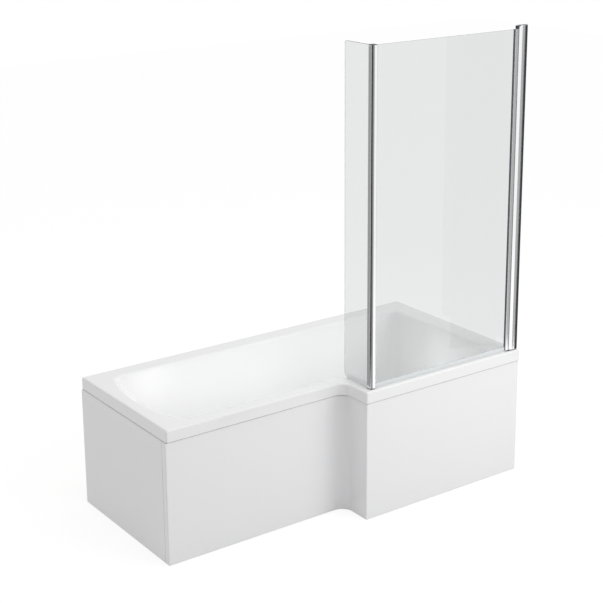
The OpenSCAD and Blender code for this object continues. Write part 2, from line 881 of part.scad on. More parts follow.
// Point and heading of the hose's centre line at a length along it, in the plane of its bend
function hose_at(s) =
    s < hose_drop
    ? [hose_y0 + s * sin(side_lean), hose_z0 - s * cos(side_lean), side_lean - 90]
    : s < hose_drop + hose_arc
    ? let (
        heading = side_lean - 90 + (s - hose_drop) / hose_bend * 180 / PI,
        centre_y = hose_corner_y + hose_tangent,
        centre_z = hose_z1 + hose_bend
      )
      [centre_y + hose_bend * sin(heading), centre_z - hose_bend * cos(heading), heading]
    : [hose_corner_y + hose_tangent + s - hose_drop - hose_arc, hose_z1, 0];

function hose_ring(s, r) =
    let (at = hose_at(s))
    [for (k = [0:hose_sides - 1]) let (
        a = 360 * (k + 0.5) / hose_sides,
        side = r * cos(a),
        lift = r * sin(a)
    ) [waste_x + side, at[0] - lift * sin(at[2]), at[1] + lift * cos(at[2])]];

// Ribbed hose with its bore: crests and roots alternate between two plain cuffs
module overflow_hose() {
    ribs_l = hose_l - 2 * hose_cuff;
    outer = concat(
        [[0, port_r], [hose_cuff, port_r]],
        [for (i = [0:rib_count - 1]) for (half = [0, 1])
            [hose_cuff + ribs_l * (i + 0.25 + half / 2) / rib_count, half == 0 ? hose_root : port_r]],
        [[hose_l - hose_cuff, port_r], [hose_l, port_r]]
    );
    bore_steps = 28;
    bore = [for (i = [0:bore_steps]) [hose_l * (1 - i / bore_steps), hose_bore]];
    loop = [for (p = concat(outer, bore)) hose_ring(p[0], p[1])];
    n = hose_sides;
    m = len(loop);
    color("lightgray") polyhedron(
        [for (row = loop) for (p = row) p],
        concat(
            [for (i = [0:m - 1]) for (j = [0:n - 1])
                [i * n + j, ((i + 1) % m) * n + (j + 1) % n, i * n + (j + 1) % n]],
            [for (i = [0:m - 1]) for (j = [0:n - 1])
                [i * n + j, ((i + 1) % m) * n + j, ((i + 1) % m) * n + (j + 1) % n]]
        ),
        convexity = 8
    );
}

// Trap

// Bend in the YZ plane about a centre, from one angle through a sweep
module trap_turn(centre_y, from, sweep, r) {
    translate([0, centre_y, bend_z]) rotate([90, 0, 90]) rotate([0, 0, from])
        rotate_extrude(angle = sweep) translate([trap_bend, 0]) circle(r);
}

module trap_line(r) {
    trap_turn(trap_bend, 180, 180, r);
    trap_turn(3 * trap_bend, 90, 90, r);
}

module trap_body() {
    top = body_end - 2;
    color("white") at_waste() difference() {
        union() {
            translate([0, 0, bend_z]) cylinder(r = trap_r, h = top - bend_z);
            translate([0, 0, collar_z]) cylinder(r = tail_thread_r - 0.1, h = top - collar_z);
            trap_line(trap_r);
            translate([0, outlet_y, outlet_z]) lay_back() cylinder(r = trap_r, h = socket_y - outlet_y);
            translate([0, socket_y - 4, outlet_z]) lay_back() cylinder(r = socket_r, h = socket_l + 4);
        }
        translate([0, 0, bend_z]) cylinder(r = trap_bore, h = top - bend_z + 1);
        trap_line(trap_bore);
        translate([0, outlet_y, outlet_z]) lay_back() cylinder(r = trap_bore, h = socket_y - outlet_y + 1);
        translate([0, socket_y, outlet_z]) lay_back() cylinder(d = outlet_bore_d, h = socket_l + 1);
    }
}

module trap_inlet_seal() {
    color("dimgray") at_waste() ring(tail_thread_r - 0.1, trap_bore + 0.3, body_end - 2, body_end);
}

// Ribbed ring nut whose lower lip carries the trap's collar
module trap_inlet_nut() {
    color("white") at_waste() {
        rotate_extrude() polygon([
            [tail_thread_r + slip, body_end + 15], [31, body_end + 15], [31, collar_z - 3],
            [trap_r + 0.2, collar_z - 3], [trap_r + 0.2, collar_z], [tail_thread_r + slip, collar_z]
        ]);
        for (a = [0:30:330])
            rotate([0, 0, a]) translate([31, 0, collar_z - 1])
                cylinder(r = 1.5, h = body_end + 14 - collar_z);
    }
}

module trap_outlet_seal() {
    color("dimgray") at_waste() translate([0, 0, outlet_z]) lay_back()
        ring(socket_r - 0.5, outlet_bore_d / 2 + 0.1, socket_y + socket_l, socket_y + socket_l + 5);
}

module trap_outlet_nut() {
    end = socket_y + socket_l + 5;
    color("white") at_waste() translate([0, 0, outlet_z]) lay_back() {
        rotate_extrude() polygon([
            [socket_r + slip, end - 26], [socket_r + 6, end - 26], [socket_r + 6, end + 3],
            [outlet_bore_d / 2 + 0.3, end + 3], [outlet_bore_d / 2 + 0.3, end], [socket_r + slip, end]
        ]);
        for (a = [0:30:330])
            rotate([0, 0, a]) translate([socket_r + 6, 0, end - 24]) cylinder(r = 1.5, h = 24);
    }
}

// Screen

module upright(z0, z1) {
    translate([0, 0, z0]) linear_extrude(z1 - z0) children();
}

// Post's outline less a wall of the given thickness: a box whose front is drawn to a wide arc
module post_section(wall = 0) {
    intersection() {
        round_rect(
            [post_x + wall, post_y + wall], [post_end_x + 2 * wall, post_y + post_d - wall],
            profile_round
        );
        translate([post_mid_x, post_y + post_front_r]) circle(post_front_r - wall);
    }
}

module ear_section() {
    translate([axis_x, glass_y]) circle(barrel_r);
    translate([axis_x, glass_y - barrel_r]) square([post_x - axis_x + ear_in, 2 * barrel_r]);
}

// Channel screwed to the end wall. It opens towards the glass and carries the post.
module wall_channel() {
    channel_x = bath_l - channel_d;
    color("gainsboro") difference() {
        box([channel_x, channel_y0, glass_z0], [bath_l, channel_y1, glass_z1]);
        box(
            [channel_x - 1, channel_y0 + channel_t, glass_z0 - 1],
            [bath_l - channel_t, channel_y1 - channel_t, glass_z1 + 1]
        );
        for (z = wall_hole_z)
            translate([bath_l - channel_t - 1, wall_hole_y, glass_z0 + z])
                rotate([0, 90, 0]) cylinder(r = 2.75, h = channel_t + 2);
        for (z = post_screw_z)
            translate([post_screw_x, channel_y1 - channel_t - 1, glass_z0 + z])
                lay_back() cylinder(r = screw_r + slip, h = channel_t + 2);
    }
}

// Tube that covers the channel. A notch in its head lets the head cap's ear out.
module pivot_post() {
    color("silver") difference() {
        upright(bath_h + cap_t, post_top) difference() {
            post_section();
            post_section(post_wall);
        }
        box(
            [post_x - 1, glass_y - barrel_r - slip, post_top - cap_t - slip],
            [post_x + ear_in + slip, glass_y + barrel_r + slip, post_top + 1]
        );
        for (z = post_screw_z)
            translate([post_screw_x, post_y + post_d - post_wall - 1, glass_z0 + z])
                lay_back() cylinder(r = screw_r + slip, h = post_wall + 2);
    }
}

// Screws through the post's bath side into the wall channel
module post_screws() {
    color("silver")
        for (z = post_screw_z)
            translate([post_screw_x, post_y + post_d, glass_z0 + z])
                rotate([90, 0, 0]) screw(7);
}

// Caps of the post: a plate under its foot and a plug inside its head. Each has an ear in line
// with the hinge profile for its pin.
module post_caps() {
    foot_top = hinge_z0 - 1 - clear_gap;
    head_foot = hinge_z1 + 1 + clear_gap;
    color("dimgray") difference() {
        union() {
            upright(bath_h, bath_h + cap_t) {
                post_section();
                ear_section();
            }
            upright(bath_h, foot_top) translate([axis_x, glass_y]) circle(barrel_r);
            upright(post_top - cap_t, post_top) {
                post_section(post_wall + slip);
                ear_section();
            }
            upright(head_foot, post_top) translate([axis_x, glass_y]) circle(barrel_r);
        }
        translate([axis_x, glass_y, bath_h + 1]) cylinder(r = pin_r + slip, h = foot_top - bath_h);
        translate([axis_x, glass_y, head_foot - 1]) cylinder(r = pin_r + slip, h = pin_top + 1 - head_foot);
    }
}

module pivot_pins() {
    color("silver") {
        translate([axis_x, glass_y, bath_h + 1]) cylinder(r = pin_r, h = hinge_z0 + bush_h - bath_h - 2);
        translate([axis_x, glass_y, hinge_z1 - bush_h + 1])
            cylinder(r = pin_r, h = pin_top - hinge_z1 + bush_h - 1);
    }
}

module pivot_bushes() {
    color("ivory") translate([axis_x, glass_y, 0]) {
        ring(bush_r - 0.02, pin_r + running, hinge_z0, hinge_z0 + bush_h);
        ring(bush_flange_r, pin_r + running, hinge_z0 - 1, hinge_z0);
        ring(bush_r - 0.02, pin_r + running, hinge_z1 - bush_h, hinge_z1);
        ring(bush_flange_r, pin_r + running, hinge_z1, hinge_z1 + 1);
    }
}

// Extrusion that holds the main pane and turns on the pins: a barrel with a glass channel
module hinge_profile() {
    slot = glass_t + 2 * gasket_t;
    color("silver") upright(hinge_z0, hinge_z1) difference() {
        union() {
            translate([axis_x, glass_y]) circle(barrel_r);
            round_rect(
                [hinge_x, glass_y - hinge_t / 2], [axis_x + profile_round, glass_y + hinge_t / 2],
                profile_round
            );
        }
        translate([axis_x, glass_y]) circle(bush_r);
        translate([hinge_x - 1, glass_y - slot / 2]) square([glass_bite + 1, slot]);
    }
}

// Two strips along x from the mouth of a profile inwards, with a lip outside it
module gasket_pair(lip = gasket_end) {
    for (side = [-1, 1])
        translate([-lip, (side * (glass_t + gasket_t) - gasket_t) / 2])
            square([glass_bite - gasket_end + lip, gasket_t]);
}

// Strips that grip both panes in the hinge profile and in the corner profile
module glass_gaskets() {
    color("dimgray") {
        upright(hinge_z0, glass_z1) translate([hinge_x, glass_y]) gasket_pair(gasket_lip);
        upright(glass_z0, glass_z1) {
            translate([corner_x + corner_w, glass_y]) rotate(180) gasket_pair();
            translate([return_x, corner_y + corner_d]) rotate(-90) gasket_pair();
        }
    }
}

module main_glass() {
    color("lightcyan", 0.4)
        box(
            [corner_x + corner_w - glass_bite, glass_y - glass_t / 2, glass_z0],
            [main_edge_x, glass_y + glass_t / 2, glass_z1]
        );
}

// Outline of the corner profile, with a wide round on its outer corner
module corner_section() {
    past = corner_out_r - profile_round;
    high = [corner_x + corner_w, corner_y + corner_d];
    translate([corner_x + corner_out_r, corner_y + corner_out_r]) circle(corner_out_r);
    round_rect([corner_x + past, corner_y], high, profile_round);
    round_rect([corner_x, corner_y + past], high, profile_round);
}

module corner_profile() {
    slot = glass_t + 2 * gasket_t;
    color("silver") upright(glass_z0, glass_z1) difference() {
        corner_section();
        translate([corner_x + corner_w - glass_bite, glass_y - slot / 2]) square([glass_bite + 1, slot]);
        translate([return_x - slot / 2, corner_y + corner_d - glass_bite]) square([slot, glass_bite + 1]);
    }
}

module corner_caps() {
    color("dimgray") {
        upright(glass_z0 - corner_cap_t, glass_z0) corner_section();
        upright(glass_z1, glass_z1 + corner_cap_t) corner_section();
    }
}

// Return pane with its free corners rounded, more at the bottom than at the top
module return_glass() {
    foot_r = 15;
    top_r = 8;
    y0 = corner_y + corner_d - glass_bite;
    y1 = corner_y + return_w;
    color("lightcyan", 0.4) translate([return_x - glass_t / 2, 0, 0])
        rotate([90, 0, 90]) linear_extrude(glass_t) {
            translate([y0, glass_z0]) square([y1 - y0 - foot_r, glass_h]);
            translate([y0, glass_z0 + foot_r]) square([y1 - y0, glass_h - foot_r - top_r]);
            translate([y1 - foot_r, glass_z0 + foot_r]) circle(foot_r);
            translate([y1 - top_r, glass_z1 - top_r]) circle(top_r);
            translate([y1 - foot_r, glass_z1 - foot_r]) square([foot_r - top_r, foot_r]);
        }
}

// Clear strip pushed on the bottom edge of a pane: two walls, a floor and a sloping drip fin
module seal_section() {
    wall = 1.4;
    low = bath_h + 0.6;
    half = glass_t / 2 + wall;
    difference() {
        translate([-half, low]) square([2 * half, seal_h]);
        translate([-glass_t / 2, glass_z0]) square([glass_t, seal_h]);
    }
    polygon([[half - 0.5, low + 5], [half + 5, low + 1], [half + 5, low], [half - 0.5, low + 3.4]]);
}

module bottom_seals() {
    color("lightblue", 0.6) {
        translate([corner_x + corner_w + 0.5, glass_y, 0]) rotate([90, 0, 90])
            linear_extrude(hinge_x - gasket_lip - corner_x - corner_w - 1) seal_section();
        translate([return_x, corner_y + return_w - 15, 0]) rotate([90, 0, 0])
            linear_extrude(return_w - corner_d - 15.5) seal_section();
    }
}

placed() {
    bath_shell();
    baseboard();
    back_timber();
    head_timber();
    shower_timber();
    narrow_timber();
    wide_timber();
    head_rail();
    middle_rail();
    shower_rail();
    rail_screws();
    lock_nuts();
    foot_rod(0);  // foot_rod_1
    foot_rod(1);  // foot_rod_2
    foot_rod(2);  // foot_rod_3
    foot_rod(3);  // foot_rod_4
    foot_rod(4);  // foot_rod_5
    foot_rod(5);  // foot_rod_6
    foot_pad(0);  // foot_pad_1
    foot_pad(1);  // foot_pad_2
    foot_pad(2);  // foot_pad_3
    foot_pad(3);  // foot_pad_4
    foot_pad(4);  // foot_pad_5
    foot_pad(5);  // foot_pad_6
    front_panel();
    end_panel();
    floor_battens();
    panel_clips();
    clip_screws();
    wall_brackets();
    bracket_screws();
    waste_flange();
    waste_flange_seal();
    waste_body();
    waste_body_seal();
    plug_cartridge();
    waste_plug();
    plug_seal();
    overflow_rosette();
    overflow_seal();
    overflow_elbow();
    overflow_hose();
    trap_inlet_nut();
    trap_inlet_seal();
    trap_body();
    trap_outlet_nut();
    trap_outlet_seal();
    wall_channel();
    pivot_post();
    post_screws();
    post_caps();
    pivot_pins();
    pivot_bushes();
    hinge_profile();
    glass_gaskets();
    main_glass();
    corner_profile();
    return_glass();
    bottom_seals();
    corner_caps();
}
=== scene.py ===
# %% [markdown]
# # An L-shaped shower bath with a hinged glass screen
# The bath is a vacuum-formed acrylic tub on a steel cradle, closed in front by a moulded panel,
# with two glass panes that swing on a post at the end wall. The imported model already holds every
# piece at its real size and place. This script gives each one its finish, and makes again, as
# finer surfaces, those pieces whose curves are what the eye follows.

import json
import math

import bpy
import numpy as np
from mathutils import Matrix, Vector


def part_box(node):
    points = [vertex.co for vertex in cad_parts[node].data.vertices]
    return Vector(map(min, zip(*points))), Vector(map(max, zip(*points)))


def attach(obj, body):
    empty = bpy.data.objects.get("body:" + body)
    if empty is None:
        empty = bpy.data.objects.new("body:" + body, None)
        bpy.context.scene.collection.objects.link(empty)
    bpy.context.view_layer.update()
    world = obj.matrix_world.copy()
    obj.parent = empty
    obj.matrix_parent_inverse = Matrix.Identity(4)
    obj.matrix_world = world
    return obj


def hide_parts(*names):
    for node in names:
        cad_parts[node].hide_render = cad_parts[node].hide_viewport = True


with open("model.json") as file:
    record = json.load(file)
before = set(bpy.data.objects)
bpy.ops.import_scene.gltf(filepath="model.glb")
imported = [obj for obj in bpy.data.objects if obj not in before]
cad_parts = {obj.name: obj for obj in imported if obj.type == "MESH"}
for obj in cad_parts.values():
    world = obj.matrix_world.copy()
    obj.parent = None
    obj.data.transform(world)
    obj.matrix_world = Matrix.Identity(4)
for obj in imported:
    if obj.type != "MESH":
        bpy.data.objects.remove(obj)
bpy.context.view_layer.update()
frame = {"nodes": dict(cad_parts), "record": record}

# %% [markdown]
# The shapes below are worked out in millimetres in the corner of the room: X from the head end,
# Y from the wide front face, Z from the floor. The shell's own box says where that corner lies in
# the model and how long, wide and high the bath is, so no piece is placed by eye.

# %% The room's corner and the bath's main sizes
MM = 0.001
shell_low, shell_high = (np.array(corner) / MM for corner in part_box("bath_shell"))
ROOM_CORNER = np.array([shell_low[0], shell_low[1], 0.0])
BATH_L, WIDE_W = (shell_high - shell_low)[:2]
BATH_H = shell_high[2]
UNDER_Z = shell_low[2]
print("bath: %.1f long, %.1f wide, %.1f high" % (BATH_L, WIDE_W, BATH_H))

# %% [markdown]
# A product photograph is taken from a little above with a long lens. The camera stands in front
# of the head end, looks along the bath and down, and its frame is lowered a little against its
# axis, which keeps the upright edges from leaning together.

# %% Camera
IMAGE_PIXELS = 603
SENSOR_MM = 36.0
FOCAL_PIXELS = 1411.3
AXIS_ABOVE_MIDDLE_PIXELS = 75.0
CAMERA_PLACE = Vector((-3.2996, -4.6170, 2.7270))
CAMERA_YAW = math.radians(35.43)
CAMERA_DIP = math.radians(15.29)
CAMERA_ROLL = math.radians(-0.43)
FARTHEST_SEEN_M = 100.0

camera_data = bpy.data.cameras.new("camera")
camera_data.sensor_width = SENSOR_MM
camera_data.lens = FOCAL_PIXELS / IMAGE_PIXELS * SENSOR_MM
camera_data.shift_y = -AXIS_ABOVE_MIDDLE_PIXELS / IMAGE_PIXELS
camera_data.clip_end = FARTHEST_SEEN_M
camera = bpy.data.objects.new("camera", camera_data)
camera.matrix_world = (
    Matrix.Translation(CAMERA_PLACE)
    @ Matrix.Rotation(-CAMERA_YAW, 4, "Z")
    @ Matrix.Rotation(math.pi / 2 - CAMERA_DIP, 4, "X")
    @ Matrix.Rotation(CAMERA_ROLL, 4, "Z")
)
bpy.context.scene.collection.objects.link(camera)
bpy.context.scene.camera = camera
print("lens: %.1f mm" % camera_data.lens)

# %% [markdown]
# ## Finishes
# Every finish starts from the real material and how its surface was made. Colours are written as
# they look on screen and turned to linear light by one function. One more function adds a shader
# node with its settings and links, and every pattern reads Object coordinates, which are metres in
# the model's frame, so a pattern's scale is one over its real size. Smooth noise seldom leaves the
# middle of its range, so where it drives the gloss, that middle is spread over the whole of it.

# %% Helpers for finishes
NOISE_LOW, NOISE_HIGH = 0.3, 0.7


def linear(hex_colour):
    """Linear RGBA of an sRGB hex colour: ((c + 0.055) / 1.055) ** 2.4, or c / 12.92 near black."""
    c = np.array([int(hex_colour[i:i + 2], 16) for i in (0, 2, 4)]) / 255.0
    rgb = np.where(c > 0.04045, ((c + 0.055) / 1.055) ** 2.4, c / 12.92)
    return (*rgb.tolist(), 1.0)


def per(size_mm):
    """Texture scale of a pattern whose features are so many millimetres apart."""
    return 1.0 / (size_mm * MM)


def add(tree, kind, settings=None, links=None):
    """Adds a shader node. Settings are attributes or socket values, links join a socket to an output."""
    node = tree.nodes.new("ShaderNode" + kind)
    for name, value in (settings or {}).items():
        if isinstance(name, str) and hasattr(node, name):
            setattr(node, name, value)
        else:
            node.inputs[name].default_value = value
    for name, output in (links or {}).items():
        tree.links.new(output, node.inputs[name])
    return node


def bare_material(name):
    """A material without any node yet, and its node tree."""
    material = bpy.data.materials.new(name)
    material.use_nodes = True
    material.node_tree.nodes.clear()
    return material, material.node_tree


def start(name, colour, roughness, settings=None):
    """A material with one Principled shader. Returns its tree, its shader and its Object coordinates."""
    material, tree = bare_material(name)
    shader = add(tree, "BsdfPrincipled", {"Base Color": linear(colour), "Roughness": roughness})
    for socket, value in (settings or {}).items():
        shader.inputs[socket].default_value = value
    add(tree, "OutputMaterial", links={"Surface": shader.outputs["BSDF"]})
    return material, tree, shader, add(tree, "TexCoord").outputs["Object"]


def feed(tree, shader, outputs):
    """Joins outputs of patterns to the shader's sockets, by the sockets' names."""
    for socket, output in outputs.items():
        tree.links.new(output, shader.inputs[socket])


# %% [markdown]
# The tub is a sheet of cast acrylic, softened and drawn down over a mould. It cools with a deep
# gloss and a very slight orange peel, some millimetres from crest to crest, that only softens the
# edges of reflections. The panels are thinner sheet of the same white, drawn less deep and a shade
# less glossy. Their edges are cut with a saw, and the cut is matt and full of fine scratches. Its
# dull grey is painted shade: it stands for the shadow in the gap under the skirt.

# %% Acrylic
GLOSS_DRIFT_MM = 140.0
PEEL_DEPTH_MM = 0.02


def cast_acrylic(name, colour, low_gloss, high_gloss, peel_mm):
    """White acrylic: a clear gloss over white, with orange peel and a soft drift in the gloss."""
    material, tree, shader, place = start(name, colour, low_gloss, {"IOR": 1.49})
    drift = add(tree, "TexNoise", {"Scale": per(GLOSS_DRIFT_MM), "Detail": 1.0}, {"Vector": place})
    gloss = add(
        tree, "MapRange",
        {"From Min": NOISE_LOW, "From Max": NOISE_HIGH, "To Min": low_gloss, "To Max": high_gloss},
        {"Value": drift.outputs[0]},
    )
    peel = add(tree, "TexNoise", {"Scale": per(peel_mm), "Detail": 1.5}, {"Vector": place})
    bump = add(tree, "Bump", {"Distance": PEEL_DEPTH_MM * MM}, {"Height": peel.outputs[0]})
    feed(tree, shader, {"Roughness": gloss.outputs[0], "Normal": bump.outputs[0]})
    return material


# The tub: wet-looking white, brightest where the light falls in.
white_acrylic = cast_acrylic("vacuum_formed_acrylic", "F2F2F2", low_gloss=0.10, high_gloss=0.16, peel_mm=9.0)
# The panels: the same white, a little softer in its reflections.
panel_acrylic = cast_acrylic("thin_acrylic_sheet", "F1F1F2", low_gloss=0.16, high_gloss=0.24, peel_mm=12.0)
# The edge of a panel, cut with a saw: matt, with a dull grey of painted shade, the shadow in the seam under
# the skirt, which reads as one thin line.
sawn_acrylic_painted_shade = cast_acrylic("sawn_edge_painted_shade", "8C8D8E", low_gloss=0.60, high_gloss=0.80, peel_mm=0.8)
print("white finishes:", white_acrylic.name, panel_acrylic.name, sawn_acrylic_painted_shade.name)

# %% [markdown]
# The hidden side of an acrylic bath is sprayed with polyester resin and chopped glass strands.
# It looks dull, beige and matted, with strands lying every way. Noise with a strong distortion
# gives that tangle without drawing single fibres.

# %% Reinforced underside
STRAND_MM = 16.0
STRAND_DEPTH_MM = 0.8


def sprayed_glassfibre():
    """Beige resin with matted strands: a distorted noise drives both its colour and its relief."""
    material, tree, shader, place = start("sprayed_glassfibre", "D9D1BC", 0.5, {"IOR": 1.55})
    mat = add(
        tree, "TexNoise", {"Scale": per(STRAND_MM), "Detail": 6.0, "Distortion": 2.5},
        {"Vector": place},
    )
    tint = add(
        tree, "Mix", {"data_type": "RGBA", 6: linear("CBC2A8"), 7: linear("E6E0CF")},
        {0: mat.outputs[0]},
    )
    bump = add(tree, "Bump", {"Distance": STRAND_DEPTH_MM * MM}, {"Height": mat.outputs[0]})
    feed(tree, shader, {"Base Color": tint.outputs[2], "Normal": bump.outputs[0]})
    return material


glassfibre = sprayed_glassfibre()
print("underside:", glassfibre.name)

# %% [markdown]
# Under the tub are chipboard, planed spruce and zinc-coated steel. Chipboard shows flakes of a few
# millimetres. Spruce shows growth rings that run as long streaks down a batten, so its noise is
# stretched along the timber. Zinc grows crystals, called spangle, that shine in patches.

# %% Board, timber and zinc
FLAKE_MM, FLAKE_DEPTH_MM = 3.2, 0.15
RING_MM, RING_DEPTH_MM = 6.0, 0.1
GRAIN = 0.05


def pressed_chipboard():
    """Chipboard: cells of a flake's size, each with its own brown, under a dull resin skin."""
    material, tree, shader, place = start("pressed_chipboard", "C4AA7C", 0.62)
    flakes = add(tree, "TexVoronoi", {"Scale": per(FLAKE_MM)}, {"Vector": place})
    shade = add(tree, "SeparateColor", links={0: flakes.outputs["Color"]})
    tint = add(
        tree, "Mix", {"data_type": "RGBA", 6: linear("A5885A"), 7: linear("D9C39A")},
        {0: shade.outputs[0]},
    )
    bump = add(
        tree, "Bump", {"Strength": 0.6, "Distance": FLAKE_DEPTH_MM * MM}, {"Height": shade.outputs[1]},
    )
    feed(tree, shader, {"Base Color": tint.outputs[2], "Normal": bump.outputs[0]})
    return material


def planed_spruce(name, stretch):
    """Spruce: noise as wide as a few rings across the batten and drawn out along it."""
    material, tree, shader, place = start(name, "D8B98A", 0.55)
    along = add(tree, "Mapping", {"Scale": stretch}, {"Vector": place})
    rings = add(
        tree, "TexNoise", {"Scale": per(RING_MM), "Detail": 3.0, "Distortion": 0.4},
        {"Vector": along.outputs[0]},
    )
    tint = add(
        tree, "Mix", {"data_type": "RGBA", 6: linear("C39B63"), 7: linear("E8D0A6")},
        {0: rings.outputs[0]},
    )
    bump = add(
        tree, "Bump", {"Strength": 0.5, "Distance": RING_DEPTH_MM * MM}, {"Height": rings.outputs[0]},
    )
    feed(tree, shader, {"Base Color": tint.outputs[2], "Normal": bump.outputs[0]})
    return material


def zinc_coat(name, dark, light, crystal_mm, low_gloss, high_gloss):
    """Zinc on steel: crystals of a given size, each with its own grey and its own gloss."""
    material, tree, shader, place = start(name, light, low_gloss, {"Metallic": 1.0})
    spangle = add(tree, "TexVoronoi", {"Scale": per(crystal_mm)}, {"Vector": place})
    shade = add(tree, "SeparateColor", links={0: spangle.outputs["Color"]})
    tint = add(
        tree, "Mix", {"data_type": "RGBA", 6: linear(dark), 7: linear(light)}, {0: shade.outputs[0]},
    )
    gloss = add(
        tree, "MapRange", {"To Min": low_gloss, "To Max": high_gloss}, {"Value": shade.outputs[1]},
    )
    feed(tree, shader, {"Base Color": tint.outputs[2], "Roughness": gloss.outputs[0]})
    return material


# Board under the floor: speckled brown, dull.
chipboard = pressed_chipboard()
# Timbers along the bath and across it: pale yellow with streaks along each one.
spruce_x = planed_spruce("planed_spruce_lengthwise", (GRAIN, 1.0, 1.0))
spruce_y = planed_spruce("planed_spruce_crosswise", (1.0, GRAIN, 1.0))
# Rails, brackets and clips: hot-dipped sheet with spangle about 9 mm across.
galvanised = zinc_coat(
    "galvanised_steel_sheet", "8E9497", "BFC4C6", crystal_mm=9.0, low_gloss=0.34, high_gloss=0.5
)
# Screws and nuts: thin bright zinc, too fine-grained for spangle.
zinc_screw = zinc_coat(
    "zinc_plated_screw", "A9B0B6", "C9CED2", crystal_mm=1.5, low_gloss=0.24, high_gloss=0.34
)
# Rods: rolled threads, duller than the screws.
rolled_rod = zinc_coat(
    "rolled_zinc_rod", "8F9598", "B1B6B9", crystal_mm=2.5, low_gloss=0.36, high_gloss=0.46
)
print("under the tub:", [each.name for each in (chipboard, spruce_x, spruce_y, galvanised, zinc_screw)])

# %% [markdown]
# The moulded plastics differ mostly in colour, gloss and the grain of their moulds. One function
# takes those three, with the grain as fine noise in the relief.

# %% Moulded plastics and rubber
PATCH_MM = 25.0
SMOOTHER, ROUGHER = 0.9, 1.15


def moulded(name, colour, roughness, grain_mm, depth_mm, ior=1.5):
    """Moulded plastic or rubber: an even colour, the mould's grain as relief and a drift in gloss."""
    material, tree, shader, place = start(name, colour, roughness, {"IOR": ior})
    grain = add(tree, "TexNoise", {"Scale": per(grain_mm), "Detail": 2.0}, {"Vector": place})
    bump = add(tree, "Bump", {"Distance": depth_mm * MM}, {"Height": grain.outputs[0]})
    patch = add(tree, "TexNoise", {"Scale": per(PATCH_MM), "Detail": 1.0}, {"Vector": place})
    gloss = add(
        tree, "MapRange", {"To Min": roughness * SMOOTHER, "To Max": roughness * ROUGHER},
        {"Value": patch.outputs[0]},
    )
    feed(tree, shader, {"Roughness": gloss.outputs[0], "Normal": bump.outputs[0]})
    return material


# Foot pads: black polypropylene with a leathery mould grain.
black_plastic = moulded("black_polypropylene", "1F2022", roughness=0.5, grain_mm=1.2, depth_mm=0.05)
# Caps on the screen's profiles: satin dark grey ABS.
dark_cap = moulded("satin_dark_abs", "2B2C2E", roughness=0.38, grain_mm=0.8, depth_mm=0.02, ior=1.54)
# Trap, waste body and elbow: white polypropylene with a waxy, half-dull skin.
white_plastic = moulded(
    "white_polypropylene", "E4E4E0", roughness=0.42, grain_mm=1.5, depth_mm=0.02, ior=1.49
)
# Overflow hose: pale grey soft PVC.
grey_hose = moulded("pale_grey_pvc", "C2C5C8", roughness=0.4, grain_mm=1.0, depth_mm=0.02, ior=1.53)
# Bushes of the screen's pivots: natural nylon.
nylon = moulded("natural_nylon", "E8E1CF", roughness=0.4, grain_mm=1.0, depth_mm=0.01, ior=1.53)
# Seals of the waste and the trap: black rubber, dull.
rubber = moulded("black_rubber", "252525", roughness=0.7, grain_mm=0.8, depth_mm=0.03, ior=1.52)
# Strips that grip the glass: dark grey soft PVC.
gasket = moulded("dark_glazing_gasket", "5C5F63", roughness=0.55, grain_mm=0.8, depth_mm=0.02, ior=1.53)
print("moulded:", [each.name for each in (black_plastic, dark_cap, white_plastic, grey_hose, nylon)])

# %% [markdown]
# The screen's profiles are extruded aluminium, polished and anodised bright. An extrusion leaves
# hair-fine lines along its length, so the noise is drawn out 250 times along Z. The waste's
# fittings are chromed brass, which is smoother and has no lines.

# %% Metals
DRAWN_OUT = 1 / 250
WAVE_MM, WAVE_DEPTH_MM = 18.0, 0.02


def extruded(name, colour, low_gloss, high_gloss, line_mm, depth_mm):
    """Extruded aluminium: die lines along Z, as a stretched noise in the gloss and the relief."""
    material, tree, shader, place = start(name, colour, low_gloss, {"Metallic": 1.0})
    along = add(tree, "Mapping", {"Scale": (1.0, 1.0, DRAWN_OUT)}, {"Vector": place})
    lines = add(tree, "TexNoise", {"Scale": per(line_mm), "Detail": 2.0}, {"Vector": along.outputs[0]})
    gloss = add(
        tree, "MapRange",
        {"From Min": NOISE_LOW, "From Max": NOISE_HIGH, "To Min": low_gloss, "To Max": high_gloss},
        {"Value": lines.outputs[0]},
    )
    bump = add(tree, "Bump", {"Distance": depth_mm * MM}, {"Height": lines.outputs[0]})
    feed(tree, shader, {"Roughness": gloss.outputs[0], "Normal": bump.outputs[0]})
    return material


def plated(name, colour, low_gloss, high_gloss):
    """Polished or plated metal: a mirror with the slow waves that polishing leaves."""
    material, tree, shader, place = start(name, colour, low_gloss, {"Metallic": 1.0})
    waves = add(tree, "TexNoise", {"Scale": per(WAVE_MM), "Detail": 1.0}, {"Vector": place})
    gloss = add(
        tree, "MapRange", {"To Min": low_gloss, "To Max": high_gloss}, {"Value": waves.outputs[0]},
    )
    bump = add(tree, "Bump", {"Distance": WAVE_DEPTH_MM * MM}, {"Height": waves.outputs[0]})
    feed(tree, shader, {"Roughness": gloss.outputs[0], "Normal": bump.outputs[0]})
    return material


# Post, hinge and corner profiles: bright, with soft-edged reflections.
bright_profile = extruded(
    "bright_anodised_aluminium", "F5F6F7",
    low_gloss=0.08, high_gloss=0.16, line_mm=1.6, depth_mm=0.004,
)
# Wall channel: as it leaves the mill, grey and half dull.
mill_aluminium = extruded(
    "mill_finish_aluminium", "B4B6B8", low_gloss=0.32, high_gloss=0.42, line_mm=1.2, depth_mm=0.01
)
# Waste, plug and overflow: chrome on brass.
chrome = plated("chromed_brass", "D3D5D7", low_gloss=0.04, high_gloss=0.09)
# Cartridge of the plug: turned brass, warm yellow.
brass = plated("turned_brass", "C6A15B", low_gloss=0.2, high_gloss=0.3)
print("metals:", bright_profile.name, mill_aluminium.name, chrome.name, brass.name)

